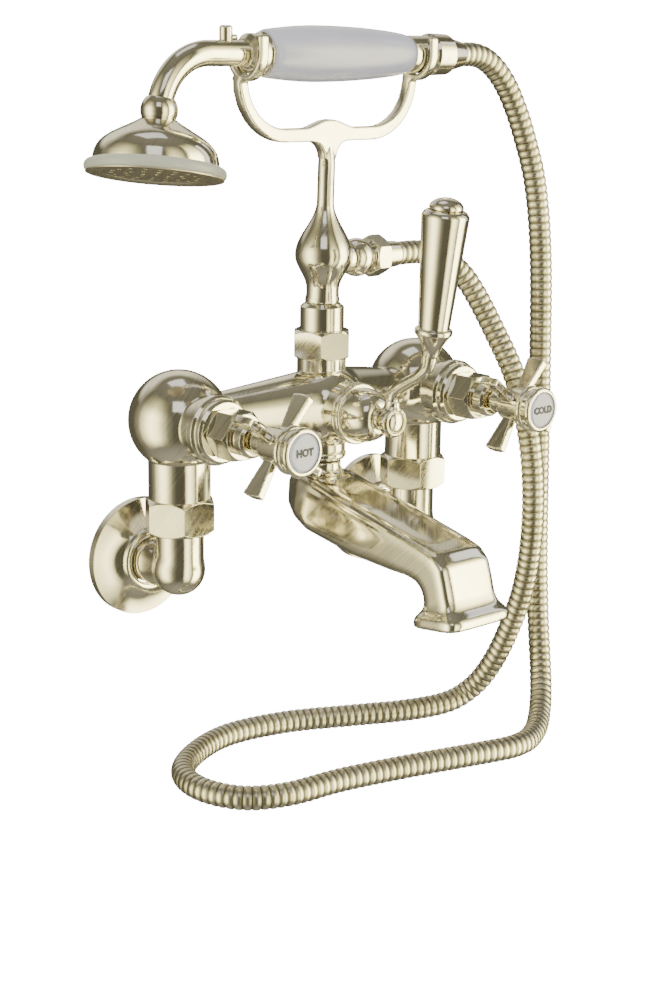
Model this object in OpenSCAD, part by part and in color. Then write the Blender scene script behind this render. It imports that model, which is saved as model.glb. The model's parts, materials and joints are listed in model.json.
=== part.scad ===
// Wall-mounted bath shower mixer with cross handles, a lever diverter, a cradle and a handset.
// The wall is the plane y = 0, +Z is up, and the user stands on the -Y side.
// The origin lies on the wall, midway between the hot inlet (-X) and the cold inlet (+X).

/* [Wall inlets] */
// Distance between the hot and cold inlet centres
inlet_spacing = 180; // [165:1:220]
// Distance from the wall to the upright inlet pipes
wall_reach = 40; // [37:1:50]
// Outer diameter of the inlet pipe
pipe_d = 27; // [23:0.5:28.5]
// Bore of the inlet pipe
pipe_bore = 20; // [14:0.5:21]
// How much thicker than its pipe the elbow's corner is
elbow_swell = 3; // [2.5:0.25:4]
// Height of the union nut's foot above the inlets
union_z = 22; // [20:0.5:26]
// Outer diameter of the threaded tail in the wall
tail_d = 26.4; // [22:0.1:27]
// Length of the tail behind the wall
tail_length = 28; // [15:1:50]
// Diameter of the wall flange
flange_d = 68; // [56:1:90]
// Height of the wall flange without its ring
flange_rise = 12.5; // [11:0.5:16]
// Height of the wall flange's edge
flange_edge = 5; // [3:0.5:7]
// Thickness of the wall flange
flange_sheet = 2; // [1.5:0.25:3]
// Thickness of the round ring at the flange's mouth
flange_ring_d = 4.5; // [3:0.25:5]
// Width across the flats of the union nut
union_af = 36; // [35:0.5:42]
// Height of the union nut
union_h = 19.5; // [16:0.5:21]
// Thickness of the union nut's lower lip
union_lip = 3; // [2:0.25:4]
// Thickness of the collar at the top of the elbow
elbow_collar = 4; // [3:0.25:5]
// Thickness of the fibre washers
washer_t = 2; // [1.5:0.25:3]

/* [Body] */
// Height of the valve axes above the inlets
ball_height = 85; // [78:1:100]
// Diameter of the ball ends
ball_d = 56; // [50:1:60]
// Diameter of the necks under the balls
neck_d = 34.6; // [33:0.2:36]
// Diameter of the thread inside the union nut
union_thread_d = 31; // [29:0.5:32]
// Horn diameter at the centre of a ball
horn_small_d = 20; // [16:1:24]
// Horn diameter at the body's centre
horn_large_d = 46; // [40:1:48]
// How far the body's centre stands in front of the balls
body_step = 18; // [14:1:24]
// Diameter of the water ways in the body
way_d = 12; // [8:0.5:14]

/* [Valves] */
// Diameter of the valve bosses on the balls
boss_d = 34; // [30:0.5:36]
// Distance from a ball's centre to the boss face
boss_reach = 30; // [28:0.5:34]
// Bore of the boss
boss_bore = 23.4; // [21:0.2:25]
// Depth of the boss bore
boss_depth = 20; // [18:0.5:22]
// Diameter of the bonnet's large collar
collar_d = 38.4; // [36:0.2:44]
// Length of the bonnet's large collar
collar_h = 6.5; // [5:0.5:9]
// Diameter of the bonnet's second ring
step_d = 35; // [30:0.5:35]
// Length of the bonnet's second ring
step_h = 4.5; // [3:0.5:6]
// Width across the flats of the bonnet's hexagon
bonnet_af = 25; // [23:0.5:28]
// Length of the bonnet's hexagon
bonnet_hex_h = 16; // [12:0.5:18]
// Diameter of the gland nut
gland_d = 20; // [19:0.5:22]
// Length of the gland nut
gland_h = 9; // [7:0.5:11]
// Spindle diameter
spindle_d = 10; // [8:0.5:11]
// Diameter of the ceramic discs
disc_d = 18; // [16:0.5:19]
// Thickness of a ceramic disc
disc_t = 3; // [2.5:0.25:3.5]

/* [Handles] */
// Gap between the gland nut and the handle
handle_gap = 3; // [1:0.5:5]
// Diameter of the handle's hub
hub_d = 19; // [17:0.5:22]
// Length of the handle's hub
hub_h = 25; // [23:0.5:30]
// Diameter of the shank behind the hub
shank_d = 13.4; // [13:0.2:15]
// Length of the shank behind the hub
shank_h = 6.5; // [4:0.5:7]
// Distance from the axis to the tip of an arm
arm_reach = 30; // [27:0.5:36]
// Width of an arm at the hub
arm_root_w = 7; // [6:0.5:8]
// Width of an arm at its tip
arm_tip_w = 12.8; // [10:0.2:14]
// Turn of the arms at rest, from the level
arm_turn = 55; // [40:1:60]
// Thickness of an arm
arm_t = 4.6; // [3.5:0.2:6]
// Diameter of the bead rings on the bezel
bezel_d = 26; // [25:0.5:30]
// Length of the bezel
bezel_h = 11; // [10:0.5:14]
// Diameter of the porcelain index
index_d = 21; // [18:0.5:22]
// Thickness of the porcelain index
index_t = 5; // [4:0.5:6]

/* [Diverter] */
// Diameter of the diverter boss
diverter_boss_d = 33; // [31:0.5:36]
// Distance from the body's axis to the diverter boss face
diverter_boss_reach = 25; // [24:0.5:30]
// Bore of the diverter boss
diverter_bore = 24; // [22:0.5:25]
// Diameter of the housing's ring
housing_ring_d = 35; // [33:0.5:38]
// Length of the housing's ring
housing_ring_h = 6; // [4:0.5:8]
// Diameter of the housing's dome
housing_dome_d = 31; // [29:0.5:32]
// Length of the housing's dome
housing_dome_h = 20; // [16:0.5:22]
// Diameter of the diverter spindle
diverter_spindle_d = 8; // [7:0.5:9]
// Diameter of the lever's eye
eye_d = 17.5; // [16:0.5:20]
// Thickness of the lever's eye
eye_t = 6.5; // [5.5:0.5:10]
// How far the crank carries the lever forward
crank_forward = 27.5; // [20:0.5:32]
// Height of the crank's lower bend above the axis
crank_low = 16; // [14:0.5:20]
// Height of the crank's upper bend above the axis
crank_high = 33; // [29:0.5:38]
// Diameter of the crank's rod
crank_d = 7.4; // [6:0.2:9]
// Length of the trumpet socket
socket_h = 23; // [18:0.5:27]
// Diameter of the trumpet's rim
socket_d = 20.6; // [18:0.2:24]
// Diameter of the grip at its foot
grip_foot_d = 17; // [15:0.2:18]
// Diameter of the grip at its top
grip_top_d = 25.4; // [20:0.2:27]
// Length of the grip
grip_h = 63; // [50:1:80]
// Forward lean of the lever
lever_lean = 6; // [0:0.5:9]
// Diameter of the grip's cap
grip_cap_d = 18.4; // [14:0.2:19]

/* [Spout] */
// Diameter of the spout's neck
spout_neck_d = 20.8; // [19:0.2:24]
// Diameter of the bead ring above the neck
spout_ring_d = 26.6; // [24.6:0.2:30]
// Length of the bead ring
spout_ring_h = 5; // [4:0.5:7]
// Length of the neck below the ring
spout_neck_h = 9; // [7:0.5:12]
// Width of the spout
spout_w = 40; // [35:0.5:44]
// Distance from the neck's axis to the middle of the outlet
spout_reach = 113; // [103:1:128]
// Depth of the spout under the neck
spout_deep = 27; // [24:0.5:32]
// How far the outlet's rim lies below the bead ring
spout_drop = 70; // [64:0.5:76]
// How far the lip stands out all round
lip_out = 4.5; // [3:0.25:6]
// Height of the lip
lip_h = 5; // [4:0.5:7]
// Wall of the spout's outlet
spout_wall = 3.5; // [2.5:0.25:5]

/* [Riser and cradle] */
// Diameter of the riser stub on the body
riser_stub_d = 28; // [25:0.5:30]
// Height of the riser stub's face above the valve axes
riser_face = 28; // [26:0.5:34]
// Width across the flats of the riser nut
riser_af = 31; // [29:0.5:34]
// Height of the riser nut
riser_nut_h = 16; // [13:0.5:19]
// Thread diameter inside the riser nut
riser_thread_d = 22; // [19:0.5:23]
// Diameter of the riser collar
riser_collar_d = 25; // [22:0.5:28]
// Height of the riser collar
riser_collar_h = 15; // [12:0.5:18]
// Outer diameter of the nipple
nipple_d = 14; // [12:0.5:15]
// Diameter of the cradle's foot above the collar
foot_d = 18.6; // [17.6:0.2:21]
// Diameter of the tulip bulb
bulb_d = 32.6; // [27:0.2:35]
// Height of the tulip bulb's widest ring above its foot
bulb_mid = 27; // [24:0.5:32]
// Height of the top of the bulb above its foot
bulb_top = 57; // [52:0.5:64]
// Stem diameter
stem_d = 9.8; // [8:0.2:12]
// How far the riser stands behind the body's axis
riser_back = 2.5; // [0:0.5:4]
// Forward lean of the cradle's stem
stem_lean = 1.6; // [0.5:0.1:2.5]
// Height of the cradle's bar above the foot of the bulb
bar_rise = 90; // [84:0.5:100]
// Height of the cradle's bar
bar_h = 7.5; // [6:0.5:10]
// Thickness of the cradle's plate
plate_t = 6.5; // [6:0.5:10]
// Width of the cradle's arms
bar_w = 6.5; // [6:0.5:10]
// Width of a fork along the handset
fork_w = 6; // [5:0.5:8]
// Height of the handset above the cradle's bar
handset_rise = 39.5; // [37:0.5:46]
// Thickness of a fork's prongs
prong_t = 3.6; // [3:0.1:5]
// Height of the prongs above the handset's axis
prong_up = 8; // [5:0.5:10]
// How far the forks stand in front of the riser
fork_step = 6; // [2:0.5:8]

/* [Hose outlet] */
// Diameter of the outlet's ball
outlet_ball_d = 22; // [20:0.2:24]
// Distance from the riser's axis to the ball's centre
outlet_ball_x = 25.5; // [25:0.5:30]
// Width across the flats of the hose nut
hose_nut_af = 21; // [19:0.5:23]
// Length of the hose nut
hose_nut_h = 10.5; // [10.5:0.5:15]

/* [Handset] */
// Outer diameter of the handset's tube
tube_d = 13.4; // [12:0.2:15]
// Bend radius of the gooseneck
goose_bend = 31.5; // [28:0.5:40]
// Angle of the gooseneck's bend
goose_angle = 80; // [70:1:90]
// Start of the gooseneck, measured from the riser
goose_x = 88.2; // [84:0.2:95]
// Tilt of the head on its ball, towards the user
head_tilt = 6.5; // [0:0.5:10]
// Length of the porcelain barrel
barrel_h = 104; // [98:0.5:108]
// Largest diameter of the porcelain barrel
barrel_d = 30; // [27:0.2:34]
// Diameter of the barrel's front end
barrel_front_d = 24.6; // [22:0.2:27]
// Diameter of the barrel's rear end
barrel_rear_d = 21.4; // [20:0.2:23]
// Diameter of the core inside the barrel
core_d = 10; // [8:0.5:11]
// Diameter of the rear ferrule
ferrule_d = 20.8; // [19:0.2:21.4]
// Diameter of the small peg
peg_d = 7; // [5:0.2:8]
// Height of the small peg above the tube
peg_h = 7.5; // [5:0.5:10]
// Diameter of the ball collar at the head
head_ball_d = 19.2; // [17.6:0.2:22]
// Diameter of the dome
dome_d = 63; // [54:1:70]
// Height of the dome
dome_h = 23; // [20:0.5:27]
// Thickness of the dome
dome_sheet = 2; // [1.5:0.25:3]
// How far the rim ring stands out round the dome
rim_out = 5; // [2:0.5:7]
// Height of the rim ring
rim_h = 6.5; // [5:0.5:8]
// Thickness of the face plate
face_t = 3; // [2.5:0.25:4]

/* [Hose] */
// Diameter over the hose's ribs
hose_d = 13.8; // [12:0.2:15]
// Depth of the grooves between the ribs
rib_depth = 0.8; // [0.4:0.1:1.2]
// Bore of the hose
hose_bore = 8; // [6:0.5:9.5]
// Number of ribs
rib_count = 150; // [60:1:200]

/* [Fits] */
// Radial clearance of a turning shaft
run_gap = 0.06; // [0.03:0.01:0.1]
// Radial clearance of pieces that are screwed or pushed together
slip_gap = 0.1; // [0.05:0.01:0.15]
// Clearance between pieces that move past each other
free_gap = 0.4; // [0.3:0.05:0.5]

/* [Hidden] */
$fn = 72;

// Colours
nickel = [0.80, 0.77, 0.65];
brass = [0.78, 0.66, 0.36];
porcelain = [0.88, 0.88, 0.90];
ceramic = [0.93, 0.92, 0.88];
rubber = [0.15, 0.15, 0.15];
fibre = [0.45, 0.22, 0.16];
rim_grey = [0.78, 0.81, 0.76];

// Main places
valve_x = inlet_spacing / 2;
body_y = -wall_reach - body_step;
riser_y = body_y + riser_back;
pipe_r = pipe_d / 2;
tail_r = tail_d / 2;

// Heights in the union joint
union_seat = union_z + union_lip;
union_washer_z = union_seat + elbow_collar;
neck_end = union_washer_z + washer_t;
union_top = union_z + union_h;

// Distances along a valve, from its ball's centre towards the user
seat_h = boss_reach - boss_depth;
turning_disc_h = seat_h + disc_t + run_gap;
drive_h = turning_disc_h + disc_t;
drive_t = 3;
window_h = drive_h + drive_t;
step_from = boss_reach + collar_h;
hex_from = step_from + step_h;
gland_from = hex_from + bonnet_hex_h;
gland_to = gland_from + gland_h;
gland_cap = 2;
hub_from = gland_to + handle_gap;
hub_to = hub_from + hub_h;
spindle_to = hub_to - 4;
arm_from_front = 9.5;
arm_h = hub_to - arm_from_front;
spigot_d = 14;
spigot_h = bezel_h - index_t - 1;
screw_seat = hub_to + spigot_h - 3;
screw_d = 4;
screw_head_d = 8;
screw_bite = 10;

// Distances along the diverter, from the body's axis towards the user
diverter_floor = -8;
spool_d = diverter_bore - 2 * free_gap;
spool_to = diverter_boss_reach - 11;
housing_to = diverter_boss_reach + housing_ring_h + housing_dome_h;
nose_d = 13;
eye_from = housing_to + 3;
eye_to = eye_from + eye_t;
eye_seat = eye_to - 3;
eye_rim = 2.4;
eye_pocket_d = eye_d - 2 * eye_rim;
screw_dome_d = eye_pocket_d - 4 * slip_gap;
seal_wire = 2;
seal_groove_d = diverter_spindle_d + 2 * seal_wire + 0.6;
seal_h = diverter_boss_reach + housing_ring_h + 6;

// Lever, measured in the upright plane through the diverter's axis
crank_y = body_y - (eye_from + eye_to) / 2;
socket_y = crank_y - crank_forward;
socket_z = ball_height + crank_high;
tang_d = 6;
knuckle_d = crank_d + 0.8;
cap_dome = 5.5;

// Spout heights
ring_z = ball_height - horn_large_d / 2 - 2;
neck_z = ring_z - spout_ring_h;
spout_z = neck_z - spout_neck_h;
seal_t = 1.5;
spout_way = 11;
spout_stub_d = 17;

// Riser heights
riser_z = ball_height + riser_face;
riser_thread_h = 8;
riser_washer_z = riser_z + riser_thread_h;
nipple_z = riser_washer_z + washer_t;
nipple_flange = 3;
riser_top = riser_z + riser_nut_h;
foot_z = riser_top + riser_collar_h;
nipple_grip = 14;
nipple_bore = 9;
bar_z = foot_z + bar_rise;
corner_out = 34;
corner_in = 27;
hump_h = 5;
hump_half = 22;

// Hose outlet, measured from the riser's axis along +X
outlet_z = foot_z + bulb_mid - 3;
outlet_neck_d = 17;
outlet_neck_x = bulb_d / 2 + 3;
outlet_tail_d = 11;
outlet_way = 7;
nut_x = outlet_ball_x + 8.5;
joint_thread_d = 15;
joint_thread_h = 5;
sleeve_bore = hose_bore;
sleeve_flange = 2.5;
sleeve_out = 11;
sleeve_d = 15;
outlet_thread_to = nut_x + joint_thread_h;
outlet_sleeve_x = outlet_thread_to + washer_t;
outlet_hose_x = nut_x + hose_nut_h + sleeve_out;

// Handset, measured from the riser's axis along +X
handset_y = body_y - fork_step;
saddle = ferrule_d / 2 + free_gap;
handset_z = bar_z + bar_h + handset_rise;
fork_out = 10;
fork_x = barrel_h / 2 + fork_out;
ferrule_over = 4;
shoulder_in = 0.5;
shoulder_x = -fork_x - fork_w / 2 + shoulder_in;
barrel_x = -barrel_h / 2 + 0.5;
barrel_to = barrel_x + barrel_h;
rear_to = fork_x + fork_w / 2 + ferrule_over;
tube_bore = 6.5;
handset_thread_to = rear_to + joint_thread_h;
handset_sleeve_x = handset_thread_to + washer_t;
handset_nut_h = 15;
handset_hose_x = rear_to + handset_nut_h + sleeve_out;
peg_x = shoulder_x - 12;

// Distances along the head, from the end of the gooseneck
head_ball_at = 2.4;
head_top = 9;
dome_foot = head_top + dome_h;
tube_in_head = 8;
neck_out = 0.4;
face_from = dome_foot;
rim_from = dome_foot + face_t + 0.5 - rim_h;
spray_hole_d = 2;

// Hose route, chosen by hand: the arch measured from the handset's end, the loop with its depth measured
// from the body's axis, and the last stretch measured from the outlet's end
hose_arch = [[0, 0, 0], [13, 0, 0], [24, -0.5, -3.5], [34, -2, -12], [42.5, -4, -25], [51, -7, -46]];
hose_loop = [
    [154, -17, 204], [157, -21, 160], [156, -25, 95], [155, -28, 30], [154, -31, -25], [151, -37, -66],
    [144, -47, -96], [130, -60, -113], [108, -75, -119], [82, -84, -118], [50, -79, -117], [10, -68, -117],
    [-34, -58, -117], [-70, -54, -117], [-93, -42, -117], [-103, -18, -117], [-97, 7, -117], [-74, 26, -117],
    [-40, 37, -117], [0, 31, -117], [36, 15, -117], [68, 0, -117], [94, -9, -116], [110, -14, -111],
    [119, -23, -97], [124, -34, -72], [127, -45, -36], [127, -50, 6], [127, -46, 50], [125, -34, 90],
    [119, -19, 121], [109, -8, 147]
];
hose_tail = [[42.5, -5, -8], [31.5, -3, -2], [18, -0.5, 0], [0, 0, 0]];
hose_route = concat(
    [for (p = hose_arch) [handset_hose_x, handset_y, handset_z] + p],
    [for (p = hose_loop) [0, body_y, 0] + p],
    [for (p = hose_tail) [outlet_hose_x, riser_y, outlet_z] + p]
);

// Shared shapes
module forward() rotate([90, 0, 0]) children();
module sideways() rotate([0, 90, 0]) children();
module at_inlet(side) translate([side * valve_x, 0, 0]) children();
module at_valve(side) translate([side * valve_x, -wall_reach, ball_height]) forward() children();
module at_diverter() translate([0, body_y, ball_height]) forward() children();
module at_body() translate([0, body_y, 0]) children();
module at_riser() translate([0, riser_y, 0]) children();
module at_outlet() translate([0, riser_y, outlet_z]) sideways() children();
module at_handset() translate([0, handset_y, handset_z]) children();
module at_socket() translate([0, socket_y, socket_z]) rotate([lever_lean, 0, 0]) children();

module rod(d, from, to) translate([0, 0, from]) cylinder(d = d, h = to - from);

module ring(outer, inner, from, to) difference() {
    rod(outer, from, to);
    rod(inner, from - 1, to + 1);
}

module turned(points) rotate_extrude() polygon(points);

// Hexagon bar with its corners chamfered at both ends
module hexagon(af, from, to) {
    corner = af / 2 / cos(30);
    chamfer = (corner - af / 2) * 0.9;
    intersection() {
        translate([0, 0, from]) cylinder(r = corner, h = to - from, $fn = 6);
        turned([
            [0, from], [af / 2 - 0.4, from], [corner, from + chamfer],
            [corner, to - chamfer], [af / 2 - 0.4, to], [0, to]
        ]);
    }
}

// Bend that starts along +Z at the origin and turns towards -Y
module bend(d, r, angle) translate([0, -r, 0]) rotate([90, 0, 90])
    rotate_extrude(angle = angle) translate([r, 0]) circle(d = d);

function arc(x, y, r, from, to, steps = 12) = [
    for (i = [0 : steps]) let (a = from + (to - from) * i / steps) [x + r * cos(a), y + r * sin(a)]
];

// Smooth step from 0 to 1
function ease(t) = (1 - cos(180 * t)) / 2;

// Wall flange: a dished shell with a round ring at its mouth
module wall_flange(side) color(nickel) at_inlet(side) forward() {
    bore = max(tail_r, pipe_r) + free_gap;
    mouth = bore + flange_ring_d / 2;
    rim = flange_d / 2;
    steps = 14;
    curve = [
        for (i = [0 : steps]) let (t = i / steps)
            [rim + (mouth - rim) * t, flange_edge + (flange_rise - flange_edge) * (t + t * t * t) / 2]
    ];
    difference() {
        union() {
            turned(concat([[rim, 0]], curve, [[mouth, 0]]));
            translate([0, 0, flange_rise]) rotate_extrude() translate([mouth, 0]) circle(d = flange_ring_d);
        }
        turned(concat(
            [[rim - flange_sheet, -1], [rim - flange_sheet, flange_edge - flange_sheet]],
            [for (p = curve) if (p[0] < rim - flange_sheet) [p[0], max(0, p[1] - flange_sheet)]],
            [[mouth, -1]]
        ));
        rod(2 * bore, -1, flange_rise + flange_ring_d);
    }
}

// Inlet elbow: tail, bend and collar in one hollow piece
module elbow_run(d, tail, end) {
    forward() rod(tail, -tail_length, 0);
    forward() rod(d, 0, wall_reach);
    translate([0, -wall_reach + elbow_swell / 3, 0]) sphere(d = d + elbow_swell);
    translate([0, -wall_reach, 0]) rod(d, 0, end);
}

module inlet_elbow(side) color(nickel) at_inlet(side) difference() {
    union() {
        elbow_run(pipe_d, tail_d, union_washer_z);
        translate([0, -wall_reach, 0]) rod(union_thread_d - 2 * slip_gap, union_seat, union_washer_z);
    }
    elbow_run(pipe_bore, pipe_bore, union_washer_z);
}

module union_nut(side) color(nickel) at_inlet(side) translate([0, -wall_reach, 0]) difference() {
    hexagon(union_af, union_z, union_top);
    rod(pipe_d + 2 * free_gap, union_z - 1, union_top + 1);
    rod(union_thread_d + 2 * slip_gap, union_seat, union_top + 1);
}

module union_washer(side) color(fibre) at_inlet(side) translate([0, -wall_reach, 0])
    ring(union_thread_d - 1, pipe_bore, union_washer_z, neck_end);

// One half of the body's outside: ball, neck, valve boss and horn
module body_half(side) {
    horn = [side * valve_x, body_step, 0];
    at_valve(side) {
        sphere(d = ball_d);
        rod(boss_d, 0, boss_reach);
    }
    translate([side * valve_x, -wall_reach, 0]) {
        rod(neck_d, union_top, ball_height);
        rod(union_thread_d, neck_end, union_top + 1);
    }
    translate([0, body_y, ball_height]) rotate([0, 0, atan2(horn[1], horn[0])]) sideways()
        cylinder(d1 = horn_large_d, d2 = horn_small_d, h = norm(horn));
}

// One half of the body's water ways: up the neck, through the valve, then along the horn
module body_half_ways(side) {
    horn = [side * valve_x, body_step, 0];
    elbow = horn * 0.66;
    window = [side * valve_x, body_step - window_h, 0] - elbow;
    at_valve(side) {
        rod(boss_bore, seat_h, boss_reach + 1);
        rod(way_d - 3, -way_d / 2 - 1, seat_h + 1);
    }
    translate([side * valve_x, -wall_reach, 0]) rod(way_d, neck_end - 1, ball_height + 2);
    translate([0, body_y, ball_height]) {
        rotate([0, 0, atan2(horn[1], horn[0])]) sideways() rod(way_d, 0, norm(elbow) + 2);
        translate(elbow) rotate([0, 0, atan2(window[1], window[0])]) sideways() rod(way_d - 4, 0, norm(window));
    }
}

module mixer_body() color(nickel) difference() {
    union() {
        for (side = [-1, 1]) body_half(side);
        at_body() {
            translate([0, 0, ball_height]) sphere(d = horn_large_d + 3);
            rod(spout_ring_d - 1, ring_z, ball_height);
            rod(spout_stub_d, neck_z, ring_z + 1);
        }
        at_riser() {
            rod(riser_stub_d, ball_height, riser_z);
            rod(riser_thread_d, riser_z - 1, riser_washer_z);
        }
        at_diverter() rod(diverter_boss_d, 0, diverter_boss_reach);
    }
    for (side = [-1, 1]) body_half_ways(side);
    at_body() rod(spout_way, neck_z - 1, ball_height);
    at_riser() rod(spout_way, ball_height, riser_washer_z + 1);
    at_diverter() rod(diverter_bore, diverter_floor, diverter_boss_reach + 1);
}

// Valve bonnet: spigot, stepped collars, hexagon and gland neck
bonnet_spigot_d = boss_bore - 2 * slip_gap;
gland_neck_d = gland_d - 3.6;
drive_d = disc_d + 0.4;
module bonnet(side) color(nickel) at_valve(side) difference() {
    union() {
        rod(bonnet_spigot_d, turning_disc_h, boss_reach);
        turned([
            [0, boss_reach], [collar_d / 2 - 1.5, boss_reach], [collar_d / 2, boss_reach + 1.5],
            [collar_d / 2, step_from - 1.5], [collar_d / 2 - 1.5, step_from],
            [step_d / 2, step_from], [step_d / 2, hex_from - 1.5], [step_d / 2 - 1.5, hex_from],
            [0, hex_from]
        ]);
        hexagon(bonnet_af, hex_from, gland_from);
        rod(gland_neck_d, gland_from - 1, gland_to - gland_cap);
    }
    rod(spindle_d + 2 * run_gap, 0, gland_to);
    rod(drive_d + 2 * free_gap, 0, drive_h + drive_t + 0.5);
    translate([0, 0, window_h]) sideways() rod(way_d - 5, -boss_bore, boss_bore);
}

module gland_nut(side) color(nickel) at_valve(side) difference() {
    turned([
        [0, gland_from], [gland_d / 2, gland_from], [gland_d / 2, gland_to - 1.5],
        [gland_d / 2 - 1.5, gland_to], [0, gland_to]
    ]);
    rod(gland_neck_d + 2 * slip_gap, gland_from - 1, gland_to - gland_cap);
    rod(spindle_d + 2 * free_gap, gland_from - 1, gland_to + 1);
}

module fixed_disc(side) color(ceramic) at_valve(side) difference() {
    rod(disc_d, seat_h, seat_h + disc_t);
    for (turn = [0, 180]) rotate([0, 0, turn]) translate([disc_d / 4, 0, 0]) rod(disc_d / 4, 0, drive_h);
}

module turning_disc(side) color(ceramic) at_valve(side) difference() {
    rod(disc_d, turning_disc_h, drive_h);
    for (turn = [90, 270]) rotate([0, 0, turn]) translate([disc_d / 4, 0, 0]) rod(disc_d / 4, 0, drive_h + 1);
}

module spindle(side) color(brass) at_valve(side) difference() {
    union() {
        rod(drive_d, drive_h, drive_h + drive_t);
        rod(spindle_d, drive_h, spindle_to);
    }
    rod(screw_d + 2 * slip_gap, spindle_to - screw_bite, spindle_to + 1);
}

// Flat arm that flares from the hub to a round tip, broad along the spindle
module handle_arm() intersection() {
    linear_extrude(arm_t, center = true) intersection() {
        polygon([
            [0, -arm_root_w / 2], [hub_d / 2, -arm_root_w / 2], [arm_reach, -arm_tip_w / 2],
            [arm_reach, arm_tip_w / 2], [hub_d / 2, arm_root_w / 2], [0, arm_root_w / 2]
        ]);
        circle(r = arm_reach);
    }
    translate([arm_reach / 2, 0, 0]) sideways() cylinder(d = arm_tip_w + 1.4, h = arm_reach + 2, center = true);
}

module cross_handle(side) color(nickel) at_valve(side) difference() {
    union() {
        turned([
            [0, hub_from], [shank_d / 2, hub_from], [shank_d / 2, hub_from + shank_h],
            [hub_d / 2 - 1, hub_from + shank_h + 1], [hub_d / 2 - 0.2, hub_from + shank_h + 2],
            [hub_d / 2, hub_to - 1], [hub_d / 2 - 1, hub_to], [0, hub_to]
        ]);
        rod(spigot_d, hub_to - 1, hub_to + spigot_h);
        translate([0, 0, arm_h]) for (i = [0 : 3]) rotate([0, 0, arm_turn + 90 * i]) rotate([90, 0, 0]) handle_arm();
    }
    rod(spindle_d + 2 * slip_gap, hub_from - 1, spindle_to);
    rod(screw_d + 2 * slip_gap, spindle_to - 1, hub_to + spigot_h + 1);
    rod(screw_head_d + 2 * slip_gap, screw_seat, hub_to + spigot_h + 1);
}

module handle_screw(side) color(brass) at_valve(side) union() {
    rod(screw_d, spindle_to - screw_bite + 1, screw_seat + 1);
    rod(screw_head_d, screw_seat, screw_seat + 2.5);
}

// Bezel: two bead rings round a cup that holds the porcelain index
index_from = hub_to + spigot_h;
module bezel(side) color(nickel) at_valve(side) difference() {
    union() {
        rod(bezel_d - 3, hub_to, hub_to + bezel_h);
        for (at = [2, bezel_h - 2]) translate([0, 0, hub_to + at]) rotate_extrude()
            translate([bezel_d / 2 - 2, 0]) circle(d = 4);
    }
    rod(spigot_d + 2 * slip_gap, hub_to - 1, index_from + 0.01);
    rod(index_d + 2 * slip_gap, index_from, hub_to + bezel_h + 1);
}

module index(side) color(porcelain) at_valve(side) turned([
    [0, index_from], [index_d / 2, index_from], [index_d / 2, index_from + index_t],
    [index_d / 2 - 1, index_from + index_t + 0.9], [0, index_from + index_t + 1.3]
]);

// Diverter housing: spigot, ring, dome and nose
module diverter_housing() color(nickel) at_diverter() {
    ring_from = diverter_boss_reach;
    dome_from = ring_from + housing_ring_h;
    dome_r = housing_dome_d / 2;
    steps = 14;
    dome = [
        for (i = [0 : steps]) let (t = i / steps)
            [nose_d / 2 + (dome_r - nose_d / 2) * cos(90 * t), dome_from + (housing_dome_h - 3) * sin(90 * t)]
    ];
    difference() {
        union() {
            rod(diverter_bore - 2 * slip_gap, spool_to + 1, ring_from);
            rod(housing_ring_d - 2, ring_from, dome_from);
            for (at = [1.5, housing_ring_h - 1.5]) translate([0, 0, ring_from + at]) rotate_extrude()
                translate([housing_ring_d / 2 - 1.5, 0]) circle(d = 3);
            turned(concat(
                [[0, dome_from - 0.5], [dome_r, dome_from - 0.5]], dome,
                [[nose_d / 2, housing_to], [0, housing_to]]
            ));
        }
        rod(diverter_spindle_d + 2 * run_gap, 0, housing_to + 1);
        rod(diverter_bore - 6, 0, spool_to + 5);
        rod(seal_groove_d, seal_h - seal_wire / 2 - 0.1, seal_h + seal_wire / 2 + 0.1);
    }
}

module diverter_seal() color(rubber) at_diverter() translate([0, 0, seal_h]) rotate_extrude()
    translate([diverter_spindle_d / 2 + run_gap + seal_wire / 2, 0]) circle(d = seal_wire);

// Turning spool with a cross way that links the body to the spout or to the riser
module diverter_spool() color(brass) at_diverter() difference() {
    rod(spool_d, diverter_floor + free_gap, spool_to);
    translate([0, -spool_d, 0]) forward() rod(way_d - 2, -2 * spool_d, 2 * spool_d);
    translate([-spool_d, 0, 0]) sideways() rod(way_d - 2, 0, 2 * spool_d);
}

module diverter_spindle() color(brass) at_diverter() difference() {
    union() {
        rod(diverter_bore - 8, spool_to, spool_to + 3);
        rod(diverter_spindle_d, spool_to, eye_seat);
    }
    rod(screw_d + 2 * slip_gap, eye_seat - screw_bite, eye_seat + 1);
}

// Lever arm: eye, cranked rod, trumpet socket and the tang that carries the grip
module lever_arm() color(nickel) {
    rise = crank_high - crank_low;
    slant = atan2(crank_forward, rise);
    foot = crank_d / 2;
    steps = 12;
    trumpet = [
        for (i = [0 : steps]) let (t = i / steps, u = max(0, (t - 0.2) / 0.8))
            [foot + (socket_d / 2 - foot) * u * u, (socket_h - 3) * t]
    ];
    difference() {
        at_diverter() union() {
            rod(eye_d, eye_from + 1, eye_to - 1);
            rod(eye_d - 2.4, eye_from, eye_to);
        }
        at_diverter() rod(diverter_spindle_d + 2 * slip_gap, eye_from - 1, eye_seat + 0.01);
        at_diverter() rod(eye_pocket_d, eye_seat, eye_to + 1);
    }
    translate([0, crank_y, ball_height]) {
        rod(crank_d, eye_d / 2 - 2, crank_low);
        translate([0, 0, crank_low]) {
            sphere(d = knuckle_d);
            rotate([slant, 0, 0]) rod(crank_d, 0, norm([crank_forward, rise]));
        }
    }
    at_socket() {
        sphere(d = knuckle_d);
        turned(concat(
            [[0, 0]], trumpet,
            [[socket_d / 2, socket_h - 1], [socket_d / 2 - 1, socket_h], [0, socket_h]]
        ));
        rod(tang_d, socket_h - 1, socket_h + grip_h);
    }
}

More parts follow.
